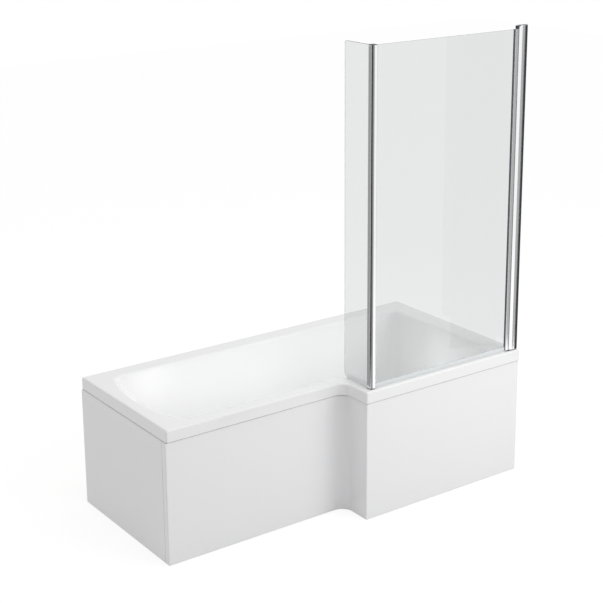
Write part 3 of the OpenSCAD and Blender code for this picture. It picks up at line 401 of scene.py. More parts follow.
# %% [markdown]
# The panes are toughened float glass, 6 mm thick. Iron in the glass takes a little light and leaves
# it faintly green, and the ground edges look darker because light runs along the pane to them.
# Lamps light the tub through the panes, so for shadow and diffuse rays each pane is a plain filter.
# Seen directly it stays a refracting solid. The strips under the panes are clear soft PVC, cloudier
# than glass.

# %% Glass and clear seals
GLASS_IOR = 1.52
CLOUD_MM, CLOUD_DEPTH_MM = 7.0, 0.05


def clear_sheet(name, colour, roughness, wave_mm, depth_mm, filter_colour):
    """Glass with slow waves in its relief. Light that it lets through takes the filter's colour."""
    material, tree, shader, place = start(
        name, colour, roughness, {"IOR": GLASS_IOR, "Transmission Weight": 1.0}
    )
    waves = add(tree, "TexNoise", {"Scale": per(wave_mm), "Detail": 0.0}, {"Vector": place})
    bump = add(tree, "Bump", {"Distance": depth_mm * MM}, {"Height": waves.outputs[0]})
    feed(tree, shader, {"Normal": bump.outputs[0]})
    ray = add(tree, "LightPath")
    lighting = add(
        tree, "Math", {"operation": "MAXIMUM"},
        {0: ray.outputs["Is Shadow Ray"], 1: ray.outputs["Is Diffuse Ray"]},
    )
    passed = add(tree, "BsdfTransparent", {"Color": linear(filter_colour)})
    mixed = add(
        tree, "MixShader", links={0: lighting.outputs[0], 1: shader.outputs[0], 2: passed.outputs[0]}
    )
    output = next(node for node in tree.nodes if node.type == "OUTPUT_MATERIAL")
    tree.links.new(mixed.outputs[0], output.inputs["Surface"])
    return material


def soft_clear_strip():
    """Clear soft PVC: half of it shows as a milky skin, the other half is what lies behind it."""
    material, tree, shader, place = start("clear_soft_pvc", "FAFCFD", 0.14, {"IOR": 1.53, "Alpha": 0.5})
    cloud = add(tree, "TexNoise", {"Scale": per(CLOUD_MM), "Detail": 1.0}, {"Vector": place})
    gloss = add(tree, "MapRange", {"To Min": 0.10, "To Max": 0.24}, {"Value": cloud.outputs[0]})
    bump = add(tree, "Bump", {"Distance": CLOUD_DEPTH_MM * MM}, {"Height": cloud.outputs[0]})
    feed(tree, shader, {"Roughness": gloss.outputs[0], "Normal": bump.outputs[0]})
    return material


# Faces of the panes: clear, faintly green, sharp reflections.
clear_glass = clear_sheet(
    "toughened_float_glass", "E6E8E8", roughness=0.0,
    wave_mm=300.0, depth_mm=0.01, filter_colour="FAFBFB",
)
# Their ground edges: frosted and greyer, which draws the outline of each pane.
ground_edge = clear_sheet(
    "ground_glass_edge", "C4CECB", roughness=0.25,
    wave_mm=2.0, depth_mm=0.02, filter_colour="F0F4F2",
)
# Strips under the panes: milky, with a soft gleam.
clear_seal = soft_clear_strip()
print("clear finishes:", clear_glass.name, ground_edge.name, clear_seal.name)

# %% [markdown]
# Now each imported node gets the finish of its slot. Timbers are the exception: their grain has to
# run along each one.

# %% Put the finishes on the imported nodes
FINISHES = {
    "white_acrylic": white_acrylic,
    "panel_acrylic": panel_acrylic,
    "chipboard": chipboard,
    "softwood": spruce_x,
    "galvanised_steel": galvanised,
    "zinc_screw": zinc_screw,
    "threaded_rod": rolled_rod,
    "black_plastic": black_plastic,
    "dark_cap": dark_cap,
    "chrome": chrome,
    "bright_profile": bright_profile,
    "mill_aluminium": mill_aluminium,
    "brass": brass,
    "rubber": rubber,
    "white_plastic": white_plastic,
    "grey_hose": grey_hose,
    "nylon": nylon,
    "gasket": gasket,
    "clear_glass": clear_glass,
    "clear_seal": clear_seal,
}
SLOTS = {part["node"]: part["material_slot"] for part in frame["record"]["subparts"]}
CROSSWISE = ("head_timber", "shower_timber")

for node, piece in frame["nodes"].items():
    piece.data.materials.clear()
    piece.data.materials.append(spruce_y if node in CROSSWISE else FINISHES[SLOTS[node]])
print("slots:", sorted(set(SLOTS.values())))

# %% [markdown]
# ## Shapes
# Every new shape is a grid of points: rows along one parameter, columns along the other, worked
# out as whole arrays. The helper joins neighbours into four-sided faces, closes the ends and checks
# with the signed volume that the faces point outwards.

# %% Helpers for shapes
SHARP_ANGLE = math.radians(32.0)


def quads(rows, columns, close_rows=False):
    """Corners of the faces of a grid numbered row by row. Its columns always close on themselves."""
    i = np.arange(rows if close_rows else rows - 1)[:, None]
    j = np.arange(columns)[None, :]
    side = (j + 1) % columns
    ahead = (i + 1) % rows
    corners = [i * columns + j, i * columns + side, ahead * columns + side, ahead * columns + j]
    return np.stack(np.broadcast_arrays(*corners), -1).reshape(-1, 4)


def piece_from(name, grid, body, slot, finishes, close_rows=False, face_finish=None):
    """Makes a piece from a grid (rows, columns, 3) in room millimetres. Open ends get flat caps."""
    rows, columns = grid.shape[:2]
    faces = quads(rows, columns, close_rows).tolist()
    if not close_rows:
        faces += [list(range(columns))[::-1], list(range((rows - 1) * columns, rows * columns))]
    mesh = bpy.data.meshes.new(name)
    points = (grid.reshape(-1, 3) + ROOM_CORNER) * MM
    mesh.from_pydata(points.tolist(), [], faces)
    for finish in finishes:
        mesh.materials.append(finish)
    if face_finish is not None:
        mesh.polygons.foreach_set("material_index", np.asarray(face_finish, np.int32))
    return place(name, mesh, body, slot)


def place(name, mesh, body, slot):
    """Turns the faces outwards, shades them smooth up to a sharp angle and puts the piece on its body."""
    mesh.update()
    a, b, c = triangle_corners(mesh)
    if np.einsum("ij,ij->", a, np.cross(b, c)) < 0:
        mesh.flip_normals()
    mesh.shade_smooth()
    mesh.set_sharp_from_angle(angle=SHARP_ANGLE)
    piece = bpy.data.objects.new(name, mesh)
    bpy.context.scene.collection.objects.link(piece)
    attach(piece, body)
    return piece


def triangle_corners(mesh):
    """The three corners of every triangle of a mesh, as three (n, 3) arrays."""
    mesh.calc_loop_triangles()
    points = np.empty(len(mesh.vertices) * 3)
    mesh.vertices.foreach_get("co", points)
    corners = np.empty(len(mesh.loop_triangles) * 3, np.int32)
    mesh.loop_triangles.foreach_get("vertices", corners)
    return np.moveaxis(points.reshape(-1, 3)[corners.reshape(-1, 3)], 1, 0)


def report(piece):
    """Prints a piece's name, its number of faces and its size in millimetres."""
    low, high = np.array([piece.bound_box[0], piece.bound_box[6]]) / MM
    print("%s: %d faces, %.0f x %.0f x %.0f mm" % (piece.name, len(piece.data.polygons), *(high - low)))


# %% [markdown]
# ## The tub
# The real tub is one sheet, so it is one closed surface here. Its rows are L-shaped outlines: up
# the inside from the floor to the rim, over the rim's rounded edge, down the skirt and back along
# the hidden side. What changes from row to row is how far each side lies inside the rim's face: the
# lean of the wall, plus a quarter-round at the rim and another at the foot. The head end leans most
# and bows outwards in plan, which makes the back rest.

# %% Outline of the L
NARROW_W = 700.0
WIDE_L = 850.0
STEP_X = BATH_L - WIDE_L
STEP_Y = WIDE_W - NARROW_W
STEP_FILLET = 50.0
CORNER_STEPS = 18
BOW_STEPS = 48
QUARTER = np.radians(np.linspace(0.0, 90.0, 13))


def arc(cx, cy, r, start_angle, end_angle, steps=CORNER_STEPS):
    """Arcs about centres (cx, cy), one for each row of values: (rows, steps + 1, 2)."""
    cx, cy, r = (np.atleast_1d(v)[:, None] for v in (cx, cy, r))
    angle = np.radians(np.linspace(start_angle, end_angle, steps + 1))
    return np.stack(np.broadcast_arrays(cx + r * np.cos(angle), cy + r * np.sin(angle)), -1)


def bowed(points, bow, y0, y1):
    """Pushes points out in -X by bow times one minus the square of their place between y0 and y1."""
    across = (2 * points[..., 1] - y0[:, None] - y1[:, None]) / (y1 - y0)[:, None]
    moved = points.copy()
    moved[..., 0] -= bow[:, None] * np.maximum(0.0, 1.0 - across ** 2)
    return moved


def l_ring(head, shower, front, back, step, front_r, back_r, r, inner_r, bow):
    """L-shaped outlines, one for each row of insets, anticlockwise from the head's front corner."""
    x0, x1, xs = head, BATH_L - shower, STEP_X + step
    yw, yn, yb = front, STEP_Y + front, WIDE_W - back
    along = np.linspace(0.0, 1.0, BOW_STEPS + 1)[1:-1][None, :]
    head_y = (yb - back_r)[:, None] + ((yn + front_r) - (yb - back_r))[:, None] * along
    head_side = np.stack([np.broadcast_to(x0[:, None], head_y.shape), head_y], -1)
    return np.concatenate([
        bowed(arc(x0 + front_r, yn + front_r, front_r, 180, 270), bow, yn, yb),
        arc(xs - inner_r, yn - inner_r, inner_r, 90, 0),
        arc(xs + r, yw + r, r, 180, 270),
        arc(x1 - r, yw + r, r, 270, 360),
        arc(x1 - r, yb - r, r, 0, 90),
        bowed(arc(x0 + back_r, yb - back_r, back_r, 90, 180), bow, yn, yb),
        bowed(head_side, bow, yn, yb),
    ], axis=1)


# %% [markdown]
# A wall of the tub leans, and is rounded where it meets the rim and the floor. One formula gives
# how far it stands in at any height, and the same formula with the sheet's thickness as its skin
# gives the hidden side, so that the sheet is about equally thick all over.

# %% Walls of the tub
TUB_D = 405.0
TUB_Z = BATH_H - TUB_D
SKIRT_Z = BATH_H - 50.0
SHELL_T = TUB_Z - UNDER_Z
RIM_FRONT, RIM_BACK, RIM_HEAD, RIM_SHOWER, RIM_STEP = 63.0, 85.0, 59.0, 102.0, 65.0
HEAD_BOW = 55.0
RIM_ROUND, EDGE_ROUND, CORNER_ROUND = 9.0, 14.0, 8.0
HEAD_LEAN, SHOWER_LEAN, SIDE_LEAN = 24.0, 8.0, 6.5
FLOOR_ROUND, HEAD_ROUND = 60.0, 110.0
TUB_CORNER, CORNER_GROWTH, CORNER_AT_FOOT = 40.0, 42.0, 0.6
HEAD_FRONT_MORE, HEAD_BACK_LESS, STEP_MORE = 10.0, 8.0, 10.0
BOW_LOSS = 0.25
LEAST_RIM_R = 1.0


def round_dip(depth, r):
    """How far a quarter-round of radius r stands in at a depth: r - sqrt(r ** 2 - (r - depth) ** 2)."""
    left = np.clip(r - depth, 0.0, r)
    return r - np.sqrt(r * r - left * left)


def wall_inset(width, lean, foot, skin, z):
    """Distance of a wall inside the rim's face: rim, lean times depth, rim round and foot round."""
    return (
        width - skin + math.tan(math.radians(lean)) * (BATH_H - z)
        - round_dip(BATH_H - skin - z, EDGE_ROUND - skin)
        + round_dip(z - TUB_Z + skin, foot + skin)
    )


def tub_rows(skin, z):
    """Outlines of the tub at heights z: skin 0 is the side that is touched, SHELL_T the hidden side."""
    depth = (BATH_H - z) / TUB_D
    foot = round_dip(z - TUB_Z + skin, FLOOR_ROUND + skin)
    r = TUB_CORNER + CORNER_GROWTH * depth - CORNER_AT_FOOT * foot + skin
    plan = l_ring(
        wall_inset(RIM_HEAD + HEAD_BOW, HEAD_LEAN, HEAD_ROUND, skin, z),
        wall_inset(RIM_SHOWER, SHOWER_LEAN, FLOOR_ROUND, skin, z),
        wall_inset(RIM_FRONT, SIDE_LEAN, FLOOR_ROUND, skin, z),
        wall_inset(RIM_BACK, SIDE_LEAN, FLOOR_ROUND, skin, z),
        wall_inset(RIM_STEP, SIDE_LEAN, FLOOR_ROUND, skin, z),
        r + HEAD_FRONT_MORE, r - HEAD_BACK_LESS, r,
        STEP_FILLET + STEP_MORE + foot - skin, HEAD_BOW * (1.0 - BOW_LOSS * depth),
    )
    return at_heights(plan, z)


def rim_rows(inset, z):
    """Outlines of the rim and skirt at distances inside their outer face."""
    r = np.maximum(CORNER_ROUND - inset, LEAST_RIM_R)
    straight = np.zeros_like(inset)
    plan = l_ring(inset, inset, inset, inset, inset, r, r, r, STEP_FILLET + inset, straight)
    return at_heights(plan, z)


def at_heights(plan, z):
    """Adds a height to each row of a plan."""
    return np.concatenate([plan, np.broadcast_to(z[:, None, None], (*plan.shape[:2], 1))], -1)


def wall_heights(skin, edge_steps, straight_steps, foot_steps):
    """Heights down a wall: close together round its edge and its foot, even on its straight stretch."""
    top, bottom = BATH_H - skin, TUB_Z - skin
    edge, foot = EDGE_ROUND - skin, HEAD_ROUND + skin
    turn = np.radians(np.linspace(0.0, 90.0, edge_steps + 1))
    sweep = np.radians(90.0 - 90.0 * np.arange(1, foot_steps + 1) / foot_steps)
    straight = np.linspace(top - edge, bottom + foot, straight_steps + 1)[1:]
    return np.concatenate([
        top - edge * (1 - np.cos(turn)), straight, bottom + foot * (1 - np.cos(sweep)),
    ])


# %% [markdown]
# The rows are put in order and joined. The side that is touched is acrylic, the hidden side is the
# sprayed reinforcement, and the face that closes the first row is the tub's floor.

# %% Build the tub
inside = wall_heights(0.0, edge_steps=12, straight_steps=8, foot_steps=30)[::-1]
outside = wall_heights(SHELL_T, edge_steps=6, straight_steps=4, foot_steps=16)
touched_rows = np.concatenate([
    tub_rows(0.0, inside),
    rim_rows(RIM_ROUND * (1 - np.sin(QUARTER)), BATH_H - RIM_ROUND * (1 - np.cos(QUARTER))),
    rim_rows(np.array([0.0]), np.array([SKIRT_Z])),
])
hidden_rows = np.concatenate([
    rim_rows(np.array([SHELL_T, SHELL_T]), np.array([SKIRT_Z, BATH_H - SHELL_T])),
    tub_rows(SHELL_T, outside),
])
shell_grid = np.concatenate([touched_rows, hidden_rows])
columns = shell_grid.shape[1]
side_faces = (len(shell_grid) - 1) * columns
touched_faces = len(touched_rows) * columns
shell_finish = (np.arange(side_faces + 2) >= touched_faces).astype(int)
shell_finish[-2] = 0
bath_shell = piece_from(
    "tub", shell_grid, "bath", "white_acrylic", [white_acrylic, glassfibre], face_finish=shell_finish
)
report(bath_shell)

# %% [markdown]
# Two holes go through the sheet: the waste's in the floor and the overflow's in the front wall,
# which leans, so that its drill leans too. A round hole in a wall of long faces is what a boolean
# is for. It is applied at once, so no modifier and no cutter is left.

# %% Drill the tub
DRILL_SIDES, DRILL_L = 96, 40.0
WASTE_FROM_END, WASTE_Y, WASTE_HOLE_R = 443.0, 300.0, 26.0
OVERFLOW_DROP, OVERFLOW_HOLE_R = 90.0, 24.0
LEAN = math.radians(SIDE_LEAN)
WASTE = (BATH_L - WASTE_FROM_END, WASTE_Y, TUB_Z)
OVERFLOW = (WASTE[0], RIM_FRONT + math.tan(LEAN) * OVERFLOW_DROP, BATH_H - OVERFLOW_DROP)


def drill(piece, centre, axis, radius):
    """Cuts a round hole of a given axis through a piece and applies the cut."""
    turn = np.radians(np.arange(DRILL_SIDES) * 360.0 / DRILL_SIDES)
    axis = np.array(axis) / np.linalg.norm(axis)
    side = np.cross(axis, [1.0, 0.0, 0.0])
    ring = radius * (np.cos(turn)[:, None] * np.array([1.0, 0.0, 0.0]) + np.sin(turn)[:, None] * side)
    ends = np.array([-0.5, 0.5])[:, None, None] * DRILL_L * axis
    bit = np.array(centre) + ring + ends
    cutter = piece_from("drill", bit, "bath", "white_acrylic", [white_acrylic])
    hole = piece.modifiers.new("hole", "BOOLEAN")
    hole.operation, hole.solver, hole.object = "DIFFERENCE", "EXACT", cutter
    bpy.context.view_layer.update()
    cut = bpy.data.meshes.new_from_object(piece.evaluated_get(bpy.context.evaluated_depsgraph_get()))
    piece.modifiers.clear()
    piece.data = cut
    bpy.data.objects.remove(cutter)


drill(bath_shell, WASTE, (0.0, 0.0, 1.0), WASTE_HOLE_R)
drill(bath_shell, OVERFLOW, (0.0, math.cos(LEAN), math.sin(LEAN)), OVERFLOW_HOLE_R)
bath_shell.data.set_sharp_from_angle(angle=SHARP_ANGLE)
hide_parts("bath_shell")
report(bath_shell)

# %% [markdown]
# ## The panels
# Both panels have one section: a flat face with rounded edges, and lips folded back along the top
# and the foot. The front panel carries it along a path with a short return round the head end, the
# narrow face, the step and the wide face. The end panel carries it straight.

# %% Section and path of the panels
PANEL_T, PANEL_LIP, PANEL_ROUND = 3.0, 20.0, 4.0
LEAST_PANEL_R = 0.5
SKIRT_GAP, SEAM_GAP, WALL_GAP = 3.0, 2.0, 3.0
PANEL_H = SKIRT_Z - SKIRT_GAP
FRONT_INSET = 5.0
END_X = -3.0
RETURN_L = 27.0
RETURN_Y = STEP_Y + FRONT_INSET + RETURN_L


def panel_section():
    """Depth behind the face and height of the section's points, anticlockwise from the foot."""
    r = PANEL_ROUND
    top = np.stack([r * (1 - np.cos(QUARTER)), PANEL_H - r * (1 - np.sin(QUARTER))], -1)
    foot = np.stack([r * (1 - np.sin(QUARTER[:-1])), r * (1 - np.cos(QUARTER[:-1]))], -1)
    lips = np.array([
        [PANEL_LIP, PANEL_H], [PANEL_LIP, PANEL_H - PANEL_T], [PANEL_T, PANEL_H - PANEL_T],
        [PANEL_T, PANEL_T], [PANEL_LIP, PANEL_T], [PANEL_LIP, 0.0],
    ])
    return np.concatenate([[[0.0, r]], top, lips, foot])


def front_path(inset):
    """Plan path of the front panel at depths behind its face, one path for each depth."""
    r = np.maximum(PANEL_ROUND - inset, LEAST_PANEL_R)
    face_y, step_x = STEP_Y + FRONT_INSET, STEP_X + FRONT_INSET
    start_point = np.stack([END_X + inset, np.full_like(inset, RETURN_Y)], -1)[:, None]
    end_point = np.stack([np.full_like(inset, BATH_L - WALL_GAP), FRONT_INSET + inset], -1)[:, None]
    fillet = np.full_like(inset, STEP_FILLET)
    return np.concatenate([
        start_point,
        arc(END_X + inset + r, face_y + inset + r, r, 180, 270),
        arc(step_x - fillet, face_y - fillet, fillet + inset, 90, 0),
        arc(step_x + inset + r, FRONT_INSET + inset + r, r, 180, 270),
        end_point,
    ], axis=1)


def sweep(path_of, section):
    """Grid of a section carried along a path: rows along the path, columns round the section."""
    paths = path_of(section[:, 0])
    heights = np.broadcast_to(section[:, 1][:, None, None], (*paths.shape[:2], 1))
    return np.swapaxes(np.concatenate([paths, heights], -1), 0, 1)


def end_path(inset):
    """Plan path of the end panel: straight from the long wall to the seam."""
    y = np.array([WIDE_W - WALL_GAP, RETURN_Y + SEAM_GAP])
    return np.stack(np.broadcast_arrays((END_X + inset)[:, None], y[None, :]), -1)


# %% [markdown]
# The front panel's top edge is cut with a saw. Its finish is matt, and its dull grey is painted
# shade, the shadow in the gap under the skirt. That finish goes to the section's faces from half way
# round the top edge to the back of the lip. The short return round the head end keeps the gloss of
# the face, and the grey edge starts just before the round of that corner ends.

# %% Build the panels
FIRST_SHADED_SAWN_FACE, LAST_SHADED_SAWN_FACE, SHADED_SAWN_LEAD = 7, 14, 0.5
front_grid = sweep(front_path, panel_section())
under_skirt = front_grid[:-1, 0, 0] > END_X + PANEL_ROUND - SHADED_SAWN_LEAD
along_section = np.arange(front_grid.shape[1])
# Painted shade: these faces of the cut top edge take the dull grey that stands for the gap's shadow.
sawn_faces_painted_shade = under_skirt[:, None] & (along_section >= FIRST_SHADED_SAWN_FACE) & (along_section <= LAST_SHADED_SAWN_FACE)
front_panel = piece_from(
    "moulded_front_panel", front_grid, "bath", "panel_acrylic", [panel_acrylic, sawn_acrylic_painted_shade],
    face_finish=np.append(sawn_faces_painted_shade.ravel(), [False, False]),
)
end_panel = piece_from(
    "head_end_panel", sweep(end_path, panel_section()), "bath", "panel_acrylic", [panel_acrylic]
)
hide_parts("front_panel")
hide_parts("end_panel")
report(front_panel)
report(end_panel)

# %% [markdown]
# ## The panes
# A pane is a flat plate whose edges are ground: each sharp corner of the edge is taken off by a
# narrow bevel, the arris. The plate is an outline that is carried through the thickness, drawn in
# by the arris at both faces. The outline is a rectangle with a radius at each corner.

# %% Panes
ARRIS = 0.7
SQUARE_R, FREE_FOOT_R, FREE_TOP_R, LEAST_PANE_R = 1.0, 15.0, 8.0, 0.3
PANE_CORNER_STEPS = 10


def node_box(node):
    """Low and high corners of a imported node's box, in room millimetres."""
    return [np.array(corner) / MM - ROOM_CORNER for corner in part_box(node)]


def pane_outline(low, high, radii, inset):
    """Rectangle from low to high in two coordinates, drawn in by inset, with four corner radii."""
    (u0, v0), (u1, v1) = np.asarray(low) + inset, np.asarray(high) - inset
    r = [max(radius - inset, LEAST_PANE_R) for radius in radii]
    corners = [
        arc(u0 + r[0], v0 + r[0], r[0], 180, 270, PANE_CORNER_STEPS),
        arc(u1 - r[1], v0 + r[1], r[1], 270, 360, PANE_CORNER_STEPS),
        arc(u1 - r[2], v1 - r[2], r[2], 0, 90, PANE_CORNER_STEPS),
        arc(u0 + r[3], v1 - r[3], r[3], 90, 180, PANE_CORNER_STEPS),
    ]
    return np.concatenate(corners, axis=1)[0]


def pane_grid(low, high, radii, normal):
    """Grid of a plate between two corners of its box, carried along its thin axis, 0 for X, 1 for Y."""
    across = [axis for axis in range(3) if axis != normal]
    depths = [low[normal], low[normal] + ARRIS, high[normal] - ARRIS, high[normal]]
    rows = []
    for depth, inset in zip(depths, (ARRIS, 0.0, 0.0, ARRIS)):
        outline = pane_outline(low[across], high[across], radii, inset)
        row = np.empty((len(outline), 3))
        row[:, across] = outline
        row[:, normal] = depth
        rows.append(row)
    return np.stack(rows)


def pane(name, node, radii, normal):
    """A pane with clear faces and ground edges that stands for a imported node."""
    grid = pane_grid(*node_box(node), radii, normal)
    edge_faces = 3 * grid.shape[1]
    finish = np.concatenate([np.ones(edge_faces, int), [0, 0]])
    piece = piece_from(
        name, grid, "screen", "clear_glass", [clear_glass, ground_edge], face_finish=finish
    )
    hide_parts(node)
    report(piece)


pane("main_pane", "main_glass", (SQUARE_R, SQUARE_R, SQUARE_R, SQUARE_R), normal=1)
pane("return_pane", "return_glass", (SQUARE_R, FREE_FOOT_R, FREE_TOP_R, SQUARE_R), normal=0)

# %% [markdown]
# ## The overflow hose
# The hose is corrugated: its radius swings between crest and root as a cosine along its length. It
# drops from the overflow's spigot along the leaning wall, bends once and runs to the waste's port.

# %% Overflow hose
HOSE_BEND = 90.0
HOSE_CUFF = 32.0
RIB_PITCH = 6.0
CREST_R, ROOT_R, BORE_R = 16.0, 13.8, 12.0
ROWS_PER_RIB, BORE_ROWS = 8, 60
SPIGOT_BEHIND, SPIGOT_BELOW = SHELL_T + 20.0, 58.0
PORT_BEFORE, PORT_BELOW = 75.0, 40.0
HOSE_Y0 = OVERFLOW[1] - SPIGOT_BEHIND * math.cos(LEAN) + SPIGOT_BELOW * math.sin(LEAN)
HOSE_Z0 = OVERFLOW[2] - SPIGOT_BEHIND * math.sin(LEAN) - SPIGOT_BELOW * math.cos(LEAN)
HOSE_Y1, HOSE_Z1 = WASTE[1] - PORT_BEFORE, TUB_Z - PORT_BELOW
HOSE_TURN = math.pi / 2 - LEAN
TANGENT = HOSE_BEND * math.tan(HOSE_TURN / 2)
DROP_L = (HOSE_Z0 - HOSE_Z1) / math.cos(LEAN) - TANGENT
ARC_L = HOSE_BEND * HOSE_TURN
BEND_Y = HOSE_Y0 + (HOSE_Z0 - HOSE_Z1) * math.tan(LEAN) + TANGENT
HOSE_L = DROP_L + ARC_L + HOSE_Y1 - BEND_Y


def hose_line(s):
    """Centre line and heading at lengths s: a leaning drop, an arc of radius HOSE_BEND, a level run."""
    turned = np.clip(s - DROP_L, 0.0, ARC_L) / HOSE_BEND
    heading = LEAN - math.pi / 2 + turned
    drop, run = np.minimum(s, DROP_L), np.maximum(s - DROP_L - ARC_L, 0.0)
    y_arc = BEND_Y + HOSE_BEND * np.sin(heading) + run
    z_arc = HOSE_Z1 + HOSE_BEND - HOSE_BEND * np.cos(heading)
    y_drop = HOSE_Y0 + drop * math.sin(LEAN)
    z_drop = HOSE_Z0 - drop * math.cos(LEAN)
    falling = s < DROP_L
    return np.where(falling, y_drop, y_arc), np.where(falling, z_drop, z_arc), heading


def hose_grid(s, r, sides=32):
    """Rings of radius r about the hose's line at lengths s."""
    y, z, heading = (v[:, None] for v in hose_line(s))
    angle = np.radians(np.arange(sides) * 360.0 / sides)[None, :]
    side, lift = r[:, None] * np.cos(angle), r[:, None] * np.sin(angle)
    return np.stack([WASTE[0] + side, y - lift * np.sin(heading), z + lift * np.cos(heading)], -1)


ribs_l = HOSE_L - 2 * HOSE_CUFF
rib_count = math.floor(ribs_l / RIB_PITCH)
along_ribs = np.linspace(0.0, 1.0, rib_count * ROWS_PER_RIB + 1)
wave = (1 + np.cos(2 * math.pi * rib_count * along_ribs)) / 2
outer_s = np.concatenate([[0.0], HOSE_CUFF + ribs_l * along_ribs, [HOSE_L]])
outer_r = np.concatenate([[CREST_R], ROOT_R + (CREST_R - ROOT_R) * wave, [CREST_R]])
bore_s = np.linspace(HOSE_L, 0.0, BORE_ROWS)
hose_rings = hose_grid(
    np.concatenate([outer_s, bore_s]), np.concatenate([outer_r, np.full(BORE_ROWS, BORE_R)])
)
hose = piece_from("corrugated_hose", hose_rings, "bath", "grey_hose", [grey_hose], close_rows=True)
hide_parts("overflow_hose")
report(hose)
print("hose: %.0f mm on its centre line, %d ribs" % (HOSE_L, rib_count))

# %% [markdown]
# ## The foot rods
# A rolled thread is a hose's rib on a helix: its radius depends on the height and on the angle
# together, so that a crest climbs by one pitch in each turn.

# %% Foot rods
THREAD_PITCH = 1.5
THREAD_DEPTH = 0.9
ROWS_PER_PITCH = 5


def thread_grid(centre, z0, z1, radius, sides=20):
    """Rolled thread: radius less depth times a triangle wave of height / pitch - angle / full turn."""
    z = np.arange(z0, z1, THREAD_PITCH / ROWS_PER_PITCH)[:, None]
    turn = np.arange(sides)[None, :] / sides
    swing = np.abs(2.0 * ((z / THREAD_PITCH - turn) % 1.0) - 1.0)
    r = radius - THREAD_DEPTH * swing
    angle = 2 * math.pi * turn
    x, y = centre[0] + r * np.cos(angle), centre[1] + r * np.sin(angle)
    return np.stack(np.broadcast_arrays(x, y, z), -1)


for number in range(1, 7):
    low, high = node_box("foot_rod_%d" % number)
    thread = thread_grid((low + high) / 2, low[2], high[2], (high[0] - low[0]) / 2)
    rod = piece_from(
        "threaded_rod_%d" % number, thread, "foot_%d" % number, "threaded_rod", [rolled_rod]
    )
    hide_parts("foot_rod_%d" % number)
report(rod)

# %% [markdown]
# ## Studio
# The photograph is a cut-out on white. The world is an even white dome. It throws a little less
# light than it shows, so that white acrylic keeps its shading before a backdrop of pure white. The
# floor needs the same choice between what is seen and what lights, so one function makes it.

# %% World
DOME_LEVEL, BACKDROP_LEVEL = 0.72, 1.0


def seen_rays(tree):
    """Socket that is 1 for rays from the camera, a reflection or a clear piece, and 0 for the rest."""
    ray = add(tree, "LightPath")
    direct = add(
        tree, "Math", {"operation": "MAXIMUM"},
        {0: ray.outputs["Is Camera Ray"], 1: ray.outputs["Is Glossy Ray"]},
    )
    seen = add(
        tree, "Math", {"operation": "MAXIMUM"},
        {0: direct.outputs[0], 1: ray.outputs["Is Transmission Ray"]},
    )
    return seen.outputs[0]


world = bpy.data.worlds.new("white_studio")
world.use_nodes = True
bpy.context.scene.world = world
sky = world.node_tree
sky.nodes.clear()
fill = add(sky, "Background", {"Color": linear("FFFFFF"), "Strength": DOME_LEVEL})
backdrop = add(sky, "Background", {"Color": linear("FFFFFF"), "Strength": BACKDROP_LEVEL})
mixed = add(
    sky, "MixShader", links={0: seen_rays(sky), 1: fill.outputs[0], 2: backdrop.outputs[0]},
)
add(sky, "OutputWorld", links={"Surface": mixed.outputs[0]})
print("dome: lights with %.2f, shows as %.2f" % (DOME_LEVEL, BACKDROP_LEVEL))

# %% [markdown]
# The floor is a wide pale board. The light that it throws back comes from a plain paint. What the
# camera, metal and glass see of it glows nearly white, and only a part of it takes a shadow, so the
# shadow round the bath stays as faint as in the photograph.

# %% Floor
FLOOR_HALF = 12.0
FLOOR_GLOW = 0.80


def studio_floor():
    """Pale floor: a plain paint for the rays that light, a glow with a faint shadow for those that see."""
    material, tree = bare_material("white_studio_floor")
    paint = add(tree, "BsdfDiffuse", {"Color": linear("D2D2D2")})
    faint = add(tree, "BsdfDiffuse", {"Color": linear("8C8C8C")})
    glow = add(tree, "Emission", {"Color": linear("FFFFFF"), "Strength": FLOOR_GLOW})
    lit = add(tree, "AddShader", links={0: faint.outputs[0], 1: glow.outputs[0]})
    mixed = add(tree, "MixShader", links={0: seen_rays(tree), 1: paint.outputs[0], 2: lit.outputs[0]})
    add(tree, "OutputMaterial", links={"Surface": mixed.outputs[0]})
    return material


def stage_board(name, corners, material):
    """A flat board of four corners for the studio, linked to the scene without a body."""
    mesh = bpy.data.meshes.new(name)
    mesh.from_pydata(corners.tolist(), [], [[0, 1, 2, 3]])
    mesh.materials.append(material)
    board = bpy.data.objects.new(name, mesh)
    bpy.context.scene.collection.objects.link(board)
    return board


SQUARE = np.array([[-1, -1], [1, -1], [1, 1], [-1, 1]])
stage_board("floor", np.pad(SQUARE * FLOOR_HALF, ((0, 0), (0, 1))), studio_floor())
print("floor: %.0f m square" % (2 * FLOOR_HALF))

# %% [markdown]
# A large soft lamp at the front right makes the wide face the lightest and the end panel the
# darkest. A weaker one overhead lifts what faces up, which is mostly the rim. The lamps only give
# light: the camera, reflections and clear pieces don't see them.

# %% Key lamp and top lamp
SOFT_W, SOFT_H = 2.4, 2.0


def hang(data, place_at):
    """Hangs a lamp at a place, hidden from the camera, from reflections and from rays through glass."""
    lamp = bpy.data.objects.new(data.name, data)
    lamp.location = place_at
    lamp.visible_camera = lamp.visible_glossy = lamp.visible_transmission = False
    bpy.context.scene.collection.objects.link(lamp)
    return lamp


def soft_lamp(name, place_at, aim_at, power):
    """A rectangular lamp at one point, turned to face another."""
    data = bpy.data.lights.new(name, "AREA")
    data.shape, data.size, data.size_y, data.energy = "RECTANGLE", SOFT_W, SOFT_H, power
    facing = (Vector(aim_at) - Vector(place_at)).to_track_quat("-Z", "Y")
    hang(data, place_at).rotation_euler = facing.to_euler()
    print("%s: %.1f W" % (name, power))


soft_lamp("key_lamp", place_at=(1.5, -2.9, 2.1), aim_at=(0.1, -0.3, 0.45), power=40.5)
soft_lamp("top_lamp", place_at=(0.0, 0.1, 4.0), aim_at=(0.0, 0.1, 0.0), power=12.0)

